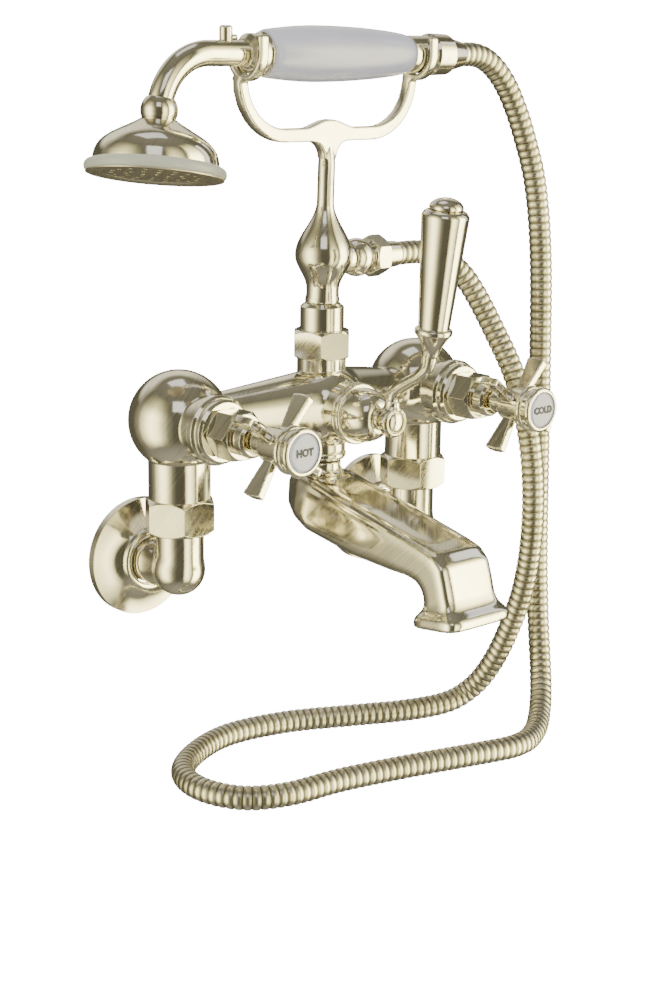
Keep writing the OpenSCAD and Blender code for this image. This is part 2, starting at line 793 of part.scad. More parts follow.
module lever_grip() color(nickel) at_socket() {
    from = socket_h;
    to = socket_h + grip_h;
    difference() {
        turned(concat(
            [[0, from], [grip_foot_d / 2, from]],
            arc(grip_top_d / 2 - 4, to - 4, 4, 0, 90),
            [[0, to]]
        ));
        rod(tang_d + 2 * slip_gap, from - 1, to + 1);
    }
}

module lever_cap() color(nickel) at_socket() turned(concat(
    [[0, socket_h + grip_h], [grip_cap_d / 2 - 1, socket_h + grip_h]],
    [
        for (t = [0 : 10 : 90])
            [grip_cap_d / 2 * cos(t), socket_h + grip_h + 1 + cap_dome * sin(t)]
    ]
));

module lever_screw() color(nickel) at_diverter() union() {
    rod(screw_d, eye_seat - screw_bite + 1, eye_seat + 1);
    turned(concat(
        [[0, eye_seat], [screw_dome_d / 2, eye_seat]],
        [for (t = [0 : 15 : 90]) [screw_dome_d / 2 * cos(t), eye_to - 1 + 2.5 * sin(t)]]
    ));
}

// Spout sections: a rounded rectangle between a top and a bottom point, each [forward, up]
spout_corners = 24;
section_power = 0.36;
function round_cos(a) = sign(cos(a)) * pow(abs(cos(a)), section_power);
function round_sin(a) = sign(sin(a)) * pow(abs(sin(a)), section_power);
function spout_section(top, bottom, half_w) = let (mid = (top + bottom) / 2, half = (top - bottom) / 2) [
    for (i = [0 : spout_corners - 1]) let (a = 360 * (i + 0.5) / spout_corners, p = mid + half * round_sin(a))
        [half_w * round_cos(a), -p[0] * spout_reach / 110, spout_z + p[1] * spout_drop / 70]
];

// Lip sections, lower at the back: how far the lip stands out at the front, and at the back and sides
function lip_section(up, front, sides) = spout_section(
    [121 + lip_out * front, up - 61], [99 - lip_out * sides, up - 65], spout_w / 2 + lip_out * sides
);

// Closed skin over a list of rings with equal counts
module loft(rings) {
    n = len(rings[0]);
    last = len(rings) - 1;
    sides = [
        for (r = [0 : last - 1]) for (i = [0 : n - 1]) let (j = (i + 1) % n)
            each [[r * n + i, (r + 1) * n + i, r * n + j], [r * n + j, (r + 1) * n + i, (r + 1) * n + j]]
    ];
    start = [for (i = [1 : n - 2]) [0, i, i + 1]];
    end = [for (i = [1 : n - 2]) [last * n, last * n + i + 1, last * n + i]];
    polyhedron([for (ring = rings) each ring], concat(start, sides, end));
}

// Spout: a body that runs forward, turns down and ends in a flared lip
module spout_body() {
    half_w = spout_w / 2;
    loft([
        spout_section([-15, -4], [-15, -14], half_w * 0.5),
        spout_section([-11, 0], [-12, -21], half_w * 0.82),
        spout_section([0, 1], [-5, -27], half_w * 0.96),
        spout_section([10, 0], [5, -32], half_w),
        spout_section([40, -6.5], [44, -38.5], half_w),
        spout_section([72, -13.5], [72, -40], half_w),
        spout_section([98, -19.5], [86, -40], half_w),
        spout_section([108, -22.5], [93, -41.5], half_w),
        spout_section([114, -28], [97, -45], half_w),
        spout_section([117, -37], [99, -49], half_w),
        spout_section([119.5, -46], [99, -53], half_w),
        lip_section(lip_h + 5, 0.2, 0.2),
        lip_section(lip_h + 1, 1.4, 0.9),
        lip_section(lip_h - 1, 1.6, 1),
        lip_section(1, 1.6, 1),
        lip_section(0, 1.3, 0.7)
    ]);
}

// Hollow above the spout's rim
module spout_mouth() {
    half_w = spout_w / 2 - spout_wall;
    front = 121 - spout_wall;
    back = 99 + spout_wall;
    loft([
        spout_section([front - 8, -33], [back, -42], half_w * 0.8),
        spout_section([front - 3, -46], [back, -53], half_w),
        spout_section([front, -57], [back, -61], half_w),
        spout_section([front, -62], [back, -66], half_w)
    ]);
}

module spout() color(nickel) at_body() {
    flare = 5;
    way_drop = spout_deep * 0.5;
    way_run = [spout_reach * 0.94, 19 * spout_drop / 70];
    difference() {
        union() {
            spout_body();
            rod(spout_neck_d, spout_z - way_drop, neck_z - seal_t);
            turned(concat(
                [[0, spout_z - flare], [spout_neck_d / 2 + flare, spout_z - flare]],
                arc(spout_neck_d / 2 + flare, spout_z + flare, flare, 270, 180, 6),
                [[0, spout_z + flare]]
            ));
        }
        rod(spout_way, spout_z - way_drop, neck_z + 1);
        translate([0, 0, spout_z - way_drop]) rotate([90 + atan2(way_run[1], way_run[0]), 0, 0])
            rod(spout_way - 1, 0, norm(way_run));
        spout_mouth();
    }
}

module spout_ring() color(nickel) at_body() difference() {
    translate([0, 0, (ring_z + neck_z) / 2]) union() {
        rod(spout_ring_d - spout_ring_h / 2, -spout_ring_h / 2, spout_ring_h / 2);
        rotate_extrude() translate([(spout_ring_d - spout_ring_h) / 2, 0]) circle(d = spout_ring_h);
    }
    rod(spout_stub_d + 2 * slip_gap, neck_z - 1, ring_z + 1);
}

module spout_seal() color(rubber) at_body() ring(spout_neck_d - 1, spout_way, neck_z - seal_t, neck_z);

module riser_nut() color(nickel) at_riser() rotate([0, 0, 48]) difference() {
    hexagon(riser_af, riser_z, riser_top);
    rod(nipple_d + 2 * slip_gap, riser_z - 1, riser_top + 1);
    rod(riser_thread_d + 2 * slip_gap, riser_z - 1, nipple_z + nipple_flange);
}

module riser_washer() color(fibre) at_riser() ring(riser_thread_d - 1, spout_way, riser_washer_z, nipple_z);

module riser_nipple() color(brass) at_riser() difference() {
    union() {
        rod(riser_thread_d - 0.4, nipple_z, nipple_z + nipple_flange);
        rod(nipple_d, nipple_z, foot_z + nipple_grip);
    }
    rod(nipple_bore, nipple_z - 1, foot_z + nipple_grip + 1);
}

module riser_collar() color(nickel) at_riser() difference() {
    turned([
        [0, riser_top], [riser_collar_d / 2, riser_top], [riser_collar_d / 2, foot_z - 2],
        [foot_d / 2 + 1, foot_z], [0, foot_z]
    ]);
    rod(nipple_d + 2 * slip_gap, riser_top - 1, foot_z + 1);
}

// Tulip bulb and stem as one turned shape
function tulip_r(h) =
    h < 8 ? foot_d / 2
    : h < bulb_mid ? foot_d / 2 + (bulb_d - foot_d) / 2 * ease((h - 8) / (bulb_mid - 8))
    : h < bulb_top ? stem_d / 2 + (bulb_d - stem_d) / 2 * (1 - ease((h - bulb_mid) / (bulb_top - bulb_mid)))
    : stem_d / 2;

// Outline of the flat U, seen from the front
module cradle_outline() {
    out_x = fork_x + bar_w / 2;
    in_x = fork_x - bar_w / 2;
    fillet = 9;
    difference() {
        union() {
            translate([-out_x + corner_out, bar_z]) square([2 * (out_x - corner_out), corner_out]);
            for (s = [-1, 1]) translate([s * (out_x - corner_out), bar_z + corner_out]) circle(r = corner_out);
        }
        translate([-in_x + corner_in, bar_z + bar_h]) square([2 * (in_x - corner_in), corner_in]);
        for (s = [-1, 1]) translate([s * (in_x - corner_in), bar_z + bar_h + corner_in]) circle(r = corner_in);
        translate([-2 * out_x, bar_z + corner_out]) square([4 * out_x, 3 * corner_out]);
    }
    polygon([
        for (x = [-hump_half : 2 : hump_half])
            [x, bar_z + bar_h - 0.5 + hump_h * (1 + cos(180 * x / hump_half)) / 2],
        [hump_half, bar_z + 1], [-hump_half, bar_z + 1]
    ]);
    polygon(concat(
        arc(stem_d / 2 + fillet, bar_z - fillet, fillet, 180, 90),
        [[stem_d / 2 + fillet, bar_z + 1], [-stem_d / 2 - fillet, bar_z + 1]],
        arc(-stem_d / 2 - fillet, bar_z - fillet, fillet, 90, 0)
    ));
}

// Arm between the U and a fork
module cradle_arm(side) {
    from = bar_z + corner_out - 0.5;
    to = handset_z - saddle - 1.5;
    translate([side * fork_x - bar_w / 2, -plate_t / 2, from]) cube([bar_w, plate_t, to - from]);
}

// Fork: a saddle open at the top, with two round-tipped prongs
module fork_outline() difference() {
    union() {
        intersection() {
            circle(r = saddle + prong_t);
            translate([-50, -100]) square(100);
        }
        for (s = [-1, 1]) {
            translate([s * (saddle + prong_t / 2) - prong_t / 2, -0.01]) square([prong_t, prong_up + 0.01]);
            translate([s * (saddle + prong_t / 2), prong_up]) circle(d = prong_t);
        }
    }
    circle(r = saddle);
    translate([-saddle, 0]) square([2 * saddle, 50]);
}

module fork(side) translate([side * fork_x - fork_w / 2, -fork_step, handset_z])
    rotate([90, 0, 90]) linear_extrude(fork_w) fork_outline();

module cradle() color(nickel) difference() {
    union() {
        at_riser() {
            rod(foot_d + 1.2, foot_z, foot_z + 3);
            translate([0, 0, foot_z]) rotate([stem_lean, 0, 0]) turned(concat(
                [[0, 2]],
                [for (h = [2 : 2 : bulb_top]) [tulip_r(h), h]],
                [[stem_d / 2, bar_rise - 12], [plate_t / 2 - 0.3, bar_rise + 2], [0, bar_rise + 2]]
            ));
        }
        at_body() {
            translate([0, plate_t / 2, 0]) forward() linear_extrude(plate_t) cradle_outline();
            for (side = [-1, 1]) {
                cradle_arm(side);
                fork(side);
            }
        }
        at_outlet() rod(outlet_neck_d, 0, outlet_neck_x);
    }
    at_riser() rod(nipple_d + 2 * slip_gap, foot_z - 1, foot_z + nipple_grip);
    at_riser() rod(nipple_bore, foot_z, outlet_z);
    at_outlet() rod(outlet_way, 0, outlet_neck_x + 1);
    at_outlet() rod(outlet_tail_d + 2 * slip_gap, outlet_neck_x - 9, outlet_neck_x + 1);
}

// Hose outlet: tail, ball and hose thread
module hose_outlet() color(nickel) at_outlet() difference() {
    union() {
        rod(outlet_tail_d, outlet_neck_x - 8, outlet_ball_x);
        rod(outlet_neck_d - 1, outlet_neck_x, outlet_ball_x);
        intersection() {
            translate([0, 0, outlet_ball_x]) sphere(d = outlet_ball_d);
            rod(outlet_ball_d + 2, outlet_neck_x, nut_x);
        }
        rod(joint_thread_d, outlet_ball_x, outlet_thread_to);
    }
    rod(outlet_way, 0, outlet_thread_to + 1);
}

// Sleeve that joins the hose to a fitting: flange, shank and outer cup
module hose_sleeve(from, lip_from, to, wide) difference() {
    union() {
        rod(joint_thread_d - 0.4, from, from + sleeve_flange);
        rod(sleeve_d - 3, from, lip_from);
        translate([0, 0, lip_from]) cylinder(d1 = wide, d2 = sleeve_d, h = to - lip_from);
    }
    rod(sleeve_bore, from - 1, to + 1);
}

module outlet_hose_nut() color(nickel) at_outlet() difference() {
    hexagon(hose_nut_af, nut_x, nut_x + hose_nut_h);
    rod(sleeve_d - 3 + 2 * slip_gap, nut_x - 1, nut_x + hose_nut_h + 1);
    rod(joint_thread_d + 2 * slip_gap, nut_x - 1, outlet_sleeve_x + sleeve_flange);
}

module outlet_washer() color(fibre) at_outlet()
    ring(joint_thread_d - 1, outlet_way, outlet_thread_to, outlet_sleeve_x);

module outlet_hose_sleeve() color(nickel) at_outlet()
    hose_sleeve(outlet_sleeve_x, nut_x + hose_nut_h, outlet_hose_x, sleeve_d + 1);

// Hose: a ribbed tube swept along its route
hose_sides = 8;
bore_steps = 90;
function unit(v) = v / norm(v);
function route_at(u) =
    let (last = len(hose_route) - 1, i = min(floor(u), last - 1), t = u - i)
    let (b = hose_route[i], c = hose_route[i + 1])
    let (a = i > 0 ? hose_route[i - 1] : 2 * b - c, d = i < last - 1 ? hose_route[i + 2] : 2 * c - b)
    (2 * b + (c - a) * t + (2 * a - 5 * b + 4 * c - d) * t * t + (3 * b - a - 3 * c + d) * t * t * t) / 2;

// Stations evenly spaced by length: the route is walked in short steps and its lengths are added up
walk = [for (i = [0 : 12 * (len(hose_route) - 1)]) route_at(i / 12)];
walked = [
    for (i = 0, s = 0; i < len(walk); i = i + 1, s = s + (i < len(walk) ? norm(walk[i] - walk[i - 1]) : 0)) s
];
hose_length = walked[len(walked) - 1];
function walk_place(s) = lookup(s, [for (i = [0 : len(walk) - 1]) [walked[i], i]]);
function walk_point(p) = let (i = min(floor(p), len(walk) - 2)) walk[i] + (walk[i + 1] - walk[i]) * (p - i);
function stations(n) = [for (k = [0 : n]) walk_point(walk_place(hose_length * k / n))];
function headings(points) = let (last = len(points) - 1) [
    for (k = [0 : last])
        k == 0 || k == last ? [k == 0 ? 1 : -1, 0, 0] : unit(points[k + 1] - points[k - 1])
];

// Side vectors carried along the route without twist
function carried(along) = [
    for (k = 0, side = [0, 0, 1]; k < len(along);
        k = k + 1, side = k < len(along) ? unit(side - (side * along[k]) * along[k]) : side) side
];
function hose_rings(n, radius) =
    let (points = stations(n), along = headings(points), sides = carried(along))
    [
        for (k = [0 : n]) let (across = cross(along[k], sides[k])) [
            for (i = [0 : hose_sides - 1]) let (a = 360 * i / hose_sides)
                points[k] + radius[k % len(radius)] * (cos(a) * sides[k] + sin(a) * across)
        ]
    ];

// Skin over outer and inner rings, joined at both ends
module hollow_loft(outer, inner) {
    n = hose_sides;
    first = len(outer) * n;
    end_out = (len(outer) - 1) * n;
    end_in = first + (len(inner) - 1) * n;
    skin = function (rings, from, flip) [
        for (r = [0 : rings - 2]) for (i = [0 : n - 1]) let (j = (i + 1) % n, p = from + r * n, q = p + n)
            each flip
                ? [[p + i, p + j, q + i], [p + j, q + j, q + i]]
                : [[p + i, q + i, p + j], [p + j, q + i, q + j]]
    ];
    caps = [
        for (i = [0 : n - 1]) let (j = (i + 1) % n) each [
            [i, j, first + i], [j, first + j, first + i],
            [end_out + i, end_in + i, end_out + j], [end_out + j, end_in + i, end_in + j]
        ]
    ];
    polyhedron(
        [for (ring = outer) each ring, for (ring = inner) each ring],
        concat(skin(len(outer), 0, false), skin(len(inner), first, true), caps)
    );
}

module hose() color(nickel) hollow_loft(
    hose_rings(2 * rib_count, [hose_d / 2 - rib_depth, hose_d / 2]),
    hose_rings(bore_steps, [hose_bore / 2])
);

module handset_hose_sleeve() color(nickel) at_handset() sideways()
    hose_sleeve(handset_sleeve_x, rear_to + handset_nut_h, handset_hose_x, ferrule_d - 1);

// Hose nut on the handset: smooth, for turning by hand
module handset_hose_nut() color(nickel) at_handset() sideways() difference() {
    from = rear_to;
    to = rear_to + handset_nut_h;
    turned([
        [0, from], [ferrule_d / 2, from], [ferrule_d / 2 + 1.4, from + 1.5], [ferrule_d / 2 + 1, to - 1],
        [ferrule_d / 2, to], [0, to]
    ]);
    rod(sleeve_d - 3 + 2 * slip_gap, from - 1, to + 1);
    rod(joint_thread_d + 2 * slip_gap, from - 1, handset_sleeve_x + sleeve_flange);
}

module handset_washer() color(fibre) at_handset() sideways()
    ring(joint_thread_d - 1, tube_bore, handset_thread_to, handset_sleeve_x);

// Head end of the handset: children are placed along the head's own axis
module at_goose_end() translate([-goose_x, 0, 0]) rotate([0, -90, 0]) translate([-goose_bend, 0, 0])
    rotate([0, -goose_angle, 0]) translate([goose_bend, 0, 0]) children();

module at_head() at_handset() at_goose_end() translate([0, 0, head_ball_at]) rotate([head_tilt, 0, 0])
    translate([0, 0, -head_ball_at]) children();

// Gooseneck, core and thread of the handset's tube
module handset_run(d, core, thread) {
    translate([-goose_x, 0, 0]) sideways() rod(d, 0, goose_x + shoulder_x);
    sideways() rod(core, shoulder_x - 1, rear_to);
    sideways() rod(thread, rear_to - 6, handset_thread_to);
    translate([-goose_x, 0, 0]) rotate([0, -90, 0]) rotate([0, 0, -90]) bend(d, goose_bend, goose_angle);
    at_goose_end() rod(d + neck_out, -1, tube_in_head);
}

module handset_tube() color(nickel) at_handset() difference() {
    handset_run(tube_d, core_d, joint_thread_d);
    handset_run(tube_bore, tube_bore, tube_bore);
    translate([peg_x, 0, 0]) rod(peg_d / 2, 0, tube_d);
}

module handset_peg() color(nickel) at_handset() translate([peg_x, 0, 0]) union() {
    rod(peg_d / 2 - 2 * slip_gap, tube_d / 2 - 2, tube_d / 2 + 1);
    intersection() {
        turned([
            [0, 0], [peg_d / 2, 0], [peg_d / 2, tube_d / 2 + peg_h - 1],
            [peg_d / 2 - 1, tube_d / 2 + peg_h], [0, tube_d / 2 + peg_h]
        ]);
        difference() {
            rod(2 * peg_d, 0, tube_d + peg_h);
            sideways() rod(tube_d + 2 * slip_gap, -peg_d, peg_d);
        }
    }
}

module front_ferrule() color(nickel) at_handset() sideways() difference() {
    turned([
        [0, shoulder_x], [tube_d / 2 + 0.6, shoulder_x], [ferrule_d / 2, shoulder_x + 2.5],
        [ferrule_d / 2, barrel_x - 2.5], [ferrule_d / 2 + 1, barrel_x - 1.5],
        [ferrule_d / 2 + 0.4, barrel_x], [0, barrel_x]
    ]);
    rod(core_d + 2 * slip_gap, shoulder_x - 1, barrel_x + 1);
}

module barrel() color(porcelain) at_handset() sideways() {
    steps = 28;
    crown = 0.42;
    end_round = 2.5;
    profile = [
        for (i = [0 : steps]) let (t = i / steps, end = t < crown ? barrel_front_d : barrel_rear_d)
            let (u = t < crown ? 1 - t / crown : (t - crown) / (1 - crown))
            [end / 2 + (barrel_d - end) / 2 * cos(90 * u), barrel_x + barrel_h * t]
    ];
    difference() {
        turned(concat(
            [[0, barrel_x]],
            arc(barrel_front_d / 2 - end_round, barrel_x + end_round, end_round, -90, 0, 6),
            [for (p = profile) if (p[1] > barrel_x + 1.5 * end_round && p[1] < barrel_to - end_round) p],
            arc(barrel_rear_d / 2 + 0.4 - end_round, barrel_to - end_round, end_round, 0, 90, 6),
            [[0, barrel_to]]
        ));
        rod(core_d + 2 * slip_gap, barrel_x - 1, barrel_to + 1);
    }
}

module rear_ferrule() color(nickel) at_handset() sideways() difference() {
    turned([
        [0, barrel_to], [ferrule_d / 2, barrel_to], [ferrule_d / 2, rear_to - 1],
        [ferrule_d / 2 - 0.6, rear_to], [0, rear_to]
    ]);
    rod(core_d + 2 * slip_gap, barrel_to - 1, rear_to + 1);
    rod(joint_thread_d + 2 * slip_gap, rear_to - 6, rear_to + 1);
}

module head_collar() color(nickel) difference() {
    at_head() intersection() {
        translate([0, 0, head_ball_at]) sphere(d = head_ball_d);
        rod(head_ball_d + 1, head_ball_at - 6.5, head_top);
    }
    at_handset() at_goose_end() rod(tube_d + neck_out + 2 * slip_gap, head_ball_at - 10, tube_in_head);
    at_head() rod(tube_bore, 0, head_top + 1);
}

// Profile of the dome: hollow at the ball collar, then a round bell
bell_neck = head_ball_d / 2 - 1;
function bell_r(t) = bell_neck + (dome_d / 2 - bell_neck) * pow(1 - pow(1 - t, 3.2), 1.15);
module dome_shape(shrink) {
    steps = 20;
    turned(concat(
        [[0, head_top + shrink]],
        [
            for (i = [0 : steps]) let (t = pow(i / steps, 2))
                [bell_r(t) - shrink, head_top + shrink + (dome_h - shrink) * t]
        ],
        [[0, dome_foot]]
    ));
}

module head_dome() color(nickel) at_head() difference() {
    dome_shape(0);
    dome_shape(dome_sheet);
    translate([0, 0, dome_foot]) cylinder(d = dome_d - 2 * dome_sheet, h = 1, center = true);
    rod(tube_bore, head_top - 1, head_top + dome_sheet + 1);
}

module head_rim() color(rim_grey) at_head() {
    inner = dome_d / 2 + slip_gap;
    outer = dome_d / 2 + rim_out;
    to = rim_from + rim_h;
    turned(concat(
        [[inner, rim_from]],
        arc(outer - 1.8, rim_from + 1.8, 1.8, -90, 0, 6),
        arc(outer - 1.8, to - 1.8, 1.8, 0, 90, 6),
        [[inner, to]]
    ));
}

// Face plate with its spray holes
module face_plate() color(nickel) at_head() difference() {
    turned([
        [0, face_from], [dome_d / 2, face_from], [dome_d / 2, face_from + face_t - 0.5],
        [dome_d / 2 - 2, face_from + face_t], [0, face_from + face_t + 0.8]
    ]);
    for (row = [1 : 3]) for (k = [0 : 6 * row - 1]) rotate([0, 0, 60 * k / row])
        translate([row * dome_d / 8.5, 0, 0]) rod(spray_hole_d, face_from - 1, face_from + face_t + 2);
}

wall_flange(-1);  // hot_wall_flange
wall_flange(1);  // cold_wall_flange
inlet_elbow(-1);  // hot_inlet_elbow
inlet_elbow(1);  // cold_inlet_elbow
union_nut(-1);  // hot_union_nut
union_nut(1);  // cold_union_nut
union_washer(-1);  // hot_union_washer
union_washer(1);  // cold_union_washer
mixer_body();
bonnet(-1);  // hot_bonnet
bonnet(1);  // cold_bonnet
gland_nut(-1);  // hot_gland_nut
gland_nut(1);  // cold_gland_nut
fixed_disc(-1);  // hot_fixed_disc
fixed_disc(1);  // cold_fixed_disc
turning_disc(-1);  // hot_turning_disc
turning_disc(1);  // cold_turning_disc
spindle(-1);  // hot_spindle
spindle(1);  // cold_spindle
cross_handle(-1);  // hot_cross_handle
cross_handle(1);  // cold_cross_handle
handle_screw(-1);  // hot_handle_screw
handle_screw(1);  // cold_handle_screw
bezel(-1);  // hot_bezel
bezel(1);  // cold_bezel
index(-1);  // hot_index
index(1);  // cold_index
diverter_housing();
diverter_seal();
diverter_spool();
diverter_spindle();
lever_arm();
lever_grip();
lever_cap();
lever_screw();
spout();
spout_ring();
spout_seal();
riser_nut();
riser_washer();
riser_nipple();
riser_collar();
cradle();
hose_outlet();
outlet_hose_nut();
outlet_washer();
outlet_hose_sleeve();
hose();
handset_hose_sleeve();
handset_hose_nut();
handset_washer();
handset_tube();
handset_peg();
front_ferrule();
barrel();
rear_ferrule();
head_collar();
head_dome();
head_rim();
face_plate();
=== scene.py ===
import json
import math

import bmesh
import bpy
from mathutils import Matrix, Vector
from mathutils.geometry import interpolate_bezier


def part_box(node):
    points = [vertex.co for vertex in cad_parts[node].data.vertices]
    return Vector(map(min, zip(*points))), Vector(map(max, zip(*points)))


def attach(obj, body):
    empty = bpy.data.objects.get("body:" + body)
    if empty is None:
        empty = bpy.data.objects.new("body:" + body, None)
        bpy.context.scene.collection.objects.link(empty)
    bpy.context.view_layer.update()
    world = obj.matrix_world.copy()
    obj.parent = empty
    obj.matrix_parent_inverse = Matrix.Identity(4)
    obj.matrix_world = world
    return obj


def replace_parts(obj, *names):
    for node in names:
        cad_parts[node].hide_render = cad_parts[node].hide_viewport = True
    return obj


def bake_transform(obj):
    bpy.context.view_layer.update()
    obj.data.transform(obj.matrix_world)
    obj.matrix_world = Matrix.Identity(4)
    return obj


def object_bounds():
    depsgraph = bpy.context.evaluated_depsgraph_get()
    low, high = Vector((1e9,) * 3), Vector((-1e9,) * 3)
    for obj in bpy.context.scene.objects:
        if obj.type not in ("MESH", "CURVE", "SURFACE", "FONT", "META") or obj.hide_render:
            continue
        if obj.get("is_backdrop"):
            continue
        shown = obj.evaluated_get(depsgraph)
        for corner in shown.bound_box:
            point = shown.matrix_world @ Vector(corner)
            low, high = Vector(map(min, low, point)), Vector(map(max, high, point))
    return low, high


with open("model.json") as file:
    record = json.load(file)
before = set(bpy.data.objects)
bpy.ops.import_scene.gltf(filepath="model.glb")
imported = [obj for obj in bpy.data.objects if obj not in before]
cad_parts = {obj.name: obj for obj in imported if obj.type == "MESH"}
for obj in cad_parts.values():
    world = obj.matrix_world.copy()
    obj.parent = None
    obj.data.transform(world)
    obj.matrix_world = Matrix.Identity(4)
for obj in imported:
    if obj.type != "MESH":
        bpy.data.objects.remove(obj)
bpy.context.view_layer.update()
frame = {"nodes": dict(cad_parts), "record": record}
nodes = frame["nodes"]
mm = 0.001
mergeGap = 0.002 * mm  # points nearer than this are one
print("frame:", len(nodes), "nodes")


# camera: place and angles read off the photograph's vanishing lines, 665 x 1000 image
cameraSetup = {
    "place": (-0.690, -0.832, 0.2909),
    "yaw": 42.04,
    "pitch": -14.16,
    "roll": 0.86,
    "focalPixels": 1842.7,
    "imageHeight": 1000,
    "sensor": 36.0,
    "clip": (0.01, 20.0),
}


def addCamera(setup):
    yaw, pitch, roll = (math.radians(setup[k]) for k in ("yaw", "pitch", "roll"))
    ahead = Vector((math.sin(yaw) * math.cos(pitch), math.cos(yaw) * math.cos(pitch), math.sin(pitch)))
    right = Vector((math.cos(yaw), -math.sin(yaw), 0))
    up = right.cross(ahead)
    right, up = (right * math.cos(roll) + up * math.sin(roll), up * math.cos(roll) - right * math.sin(roll))
    data = bpy.data.cameras.new("photoCamera")
    data.sensor_width = setup["sensor"]
    data.lens = setup["focalPixels"] / setup["imageHeight"] * setup["sensor"]
    data.clip_start, data.clip_end = setup["clip"]
    camera = bpy.data.objects.new("photoCamera", data)
    turn = Matrix((right, up, -ahead)).transposed().to_4x4()
    camera.matrix_world = Matrix.Translation(setup["place"]) @ turn
    bpy.context.scene.collection.objects.link(camera)
    bpy.context.scene.camera = camera


addCamera(cameraSetup)


# a finished bmesh becomes an object at the origin
def makeObject(name, bm, material, smoothAngle=35):
    mesh = bpy.data.meshes.new(name)
    bm.to_mesh(mesh)
    bm.free()
    if "custom_normal" in mesh.attributes:
        mesh.attributes.remove(mesh.attributes["custom_normal"])
    mesh.materials.clear()
    mesh.materials.append(material)
    mesh.polygons.foreach_set("use_smooth", [True] * len(mesh.polygons))
    mesh.set_sharp_from_angle(angle=math.radians(smoothAngle))
    obj = bpy.data.objects.new(name, mesh)
    bpy.context.scene.collection.objects.link(obj)
    return obj


# shader node groups that several finishes share
def newGroup(name, inputs, outputs):
    group = bpy.data.node_groups.new(name, "ShaderNodeTree")
    for label, value in inputs:
        socket = group.interface.new_socket(label, in_out="INPUT", socket_type="NodeSocketFloat")
        socket.default_value = value
    for label, kind in outputs:
        group.interface.new_socket(label, in_out="OUTPUT", socket_type=kind)
    return group, group.nodes.new("NodeGroupInput"), group.nodes.new("NodeGroupOutput")


def addNode(tree, kind, **values):
    node = tree.nodes.new(kind)
    for key, value in values.items():
        if hasattr(node, key):
            setattr(node, key, value)
        else:
            node.inputs[key].default_value = value
    return node


def setRamp(ramp, stops):
    elements = ramp.color_ramp.elements
    while len(elements) > 1:
        elements.remove(elements[-1])
    elements[0].position, elements[0].color = stops[0][0], (*stops[0][1], 1)
    for place, colour in stops[1:]:
        elements.new(place).color = (*colour, 1)


# fine slanted hand-polishing marks, and slow clouds of tone
polishSetup = {
    "slant": 0.7,
    "fineness": 1.0,
    "stretch": (9.0, 9.0, 1500.0),
    "marks": {"Scale": 1.0, "Detail": 3.0, "Roughness": 0.6},
    "clouds": {"Scale": 38.0, "Detail": 2.0, "Roughness": 0.5},
}


def makePolishMarks(setup):
    group, given, result = newGroup(
        "polishMarks",
        [("Slant", setup["slant"]), ("Fineness", setup["fineness"])],
        [("Marks", "NodeSocketFloat"), ("Clouds", "NodeSocketFloat")],
    )
    coords = addNode(group, "ShaderNodeTexCoord")
    slant = addNode(group, "ShaderNodeCombineXYZ")
    turned = addNode(group, "ShaderNodeVectorRotate", rotation_type="EULER_XYZ")
    stretched = addNode(group, "ShaderNodeVectorMath", operation="MULTIPLY")
    stretched.inputs[1].default_value = setup["stretch"]
    scaled = addNode(group, "ShaderNodeVectorMath", operation="SCALE")
    marks = addNode(group, "ShaderNodeTexNoise", **setup["marks"])
    clouds = addNode(group, "ShaderNodeTexNoise", **setup["clouds"])
    link = group.links.new
    link(given.outputs["Slant"], slant.inputs["X"])
    link(given.outputs["Slant"], slant.inputs["Y"])
    link(coords.outputs["Object"], turned.inputs["Vector"])
    link(slant.outputs[0], turned.inputs["Rotation"])
    link(turned.outputs[0], stretched.inputs[0])
    link(stretched.outputs[0], scaled.inputs[0])
    link(given.outputs["Fineness"], scaled.inputs["Scale"])
    link(scaled.outputs[0], marks.inputs["Vector"])
    link(coords.outputs["Object"], clouds.inputs["Vector"])
    link(marks.outputs["Fac"], result.inputs["Marks"])
    link(clouds.outputs["Fac"], result.inputs["Clouds"])
    return group


polishMarks = makePolishMarks(polishSetup)


def newMaterial(name):
    material = bpy.data.materials.new(name)
    material.use_nodes = True
    return material, material.node_tree, material.node_tree.nodes["Principled BSDF"]


# polished metal: tone follows clouds and marks, gloss and a hair of relief follow the marks
metalSetup = {
    "toneStops": (0.32, 0.62),
    "streakShare": 0.9,
    "streakMiddle": 0.45,
    "markRange": (0.3, 0.7),
    "reliefStrength": 0.02,
    "reliefHeight": 0.4 * mm,
    "softEdge": 0.6 * mm,
    "edgeSamples": 4,
}


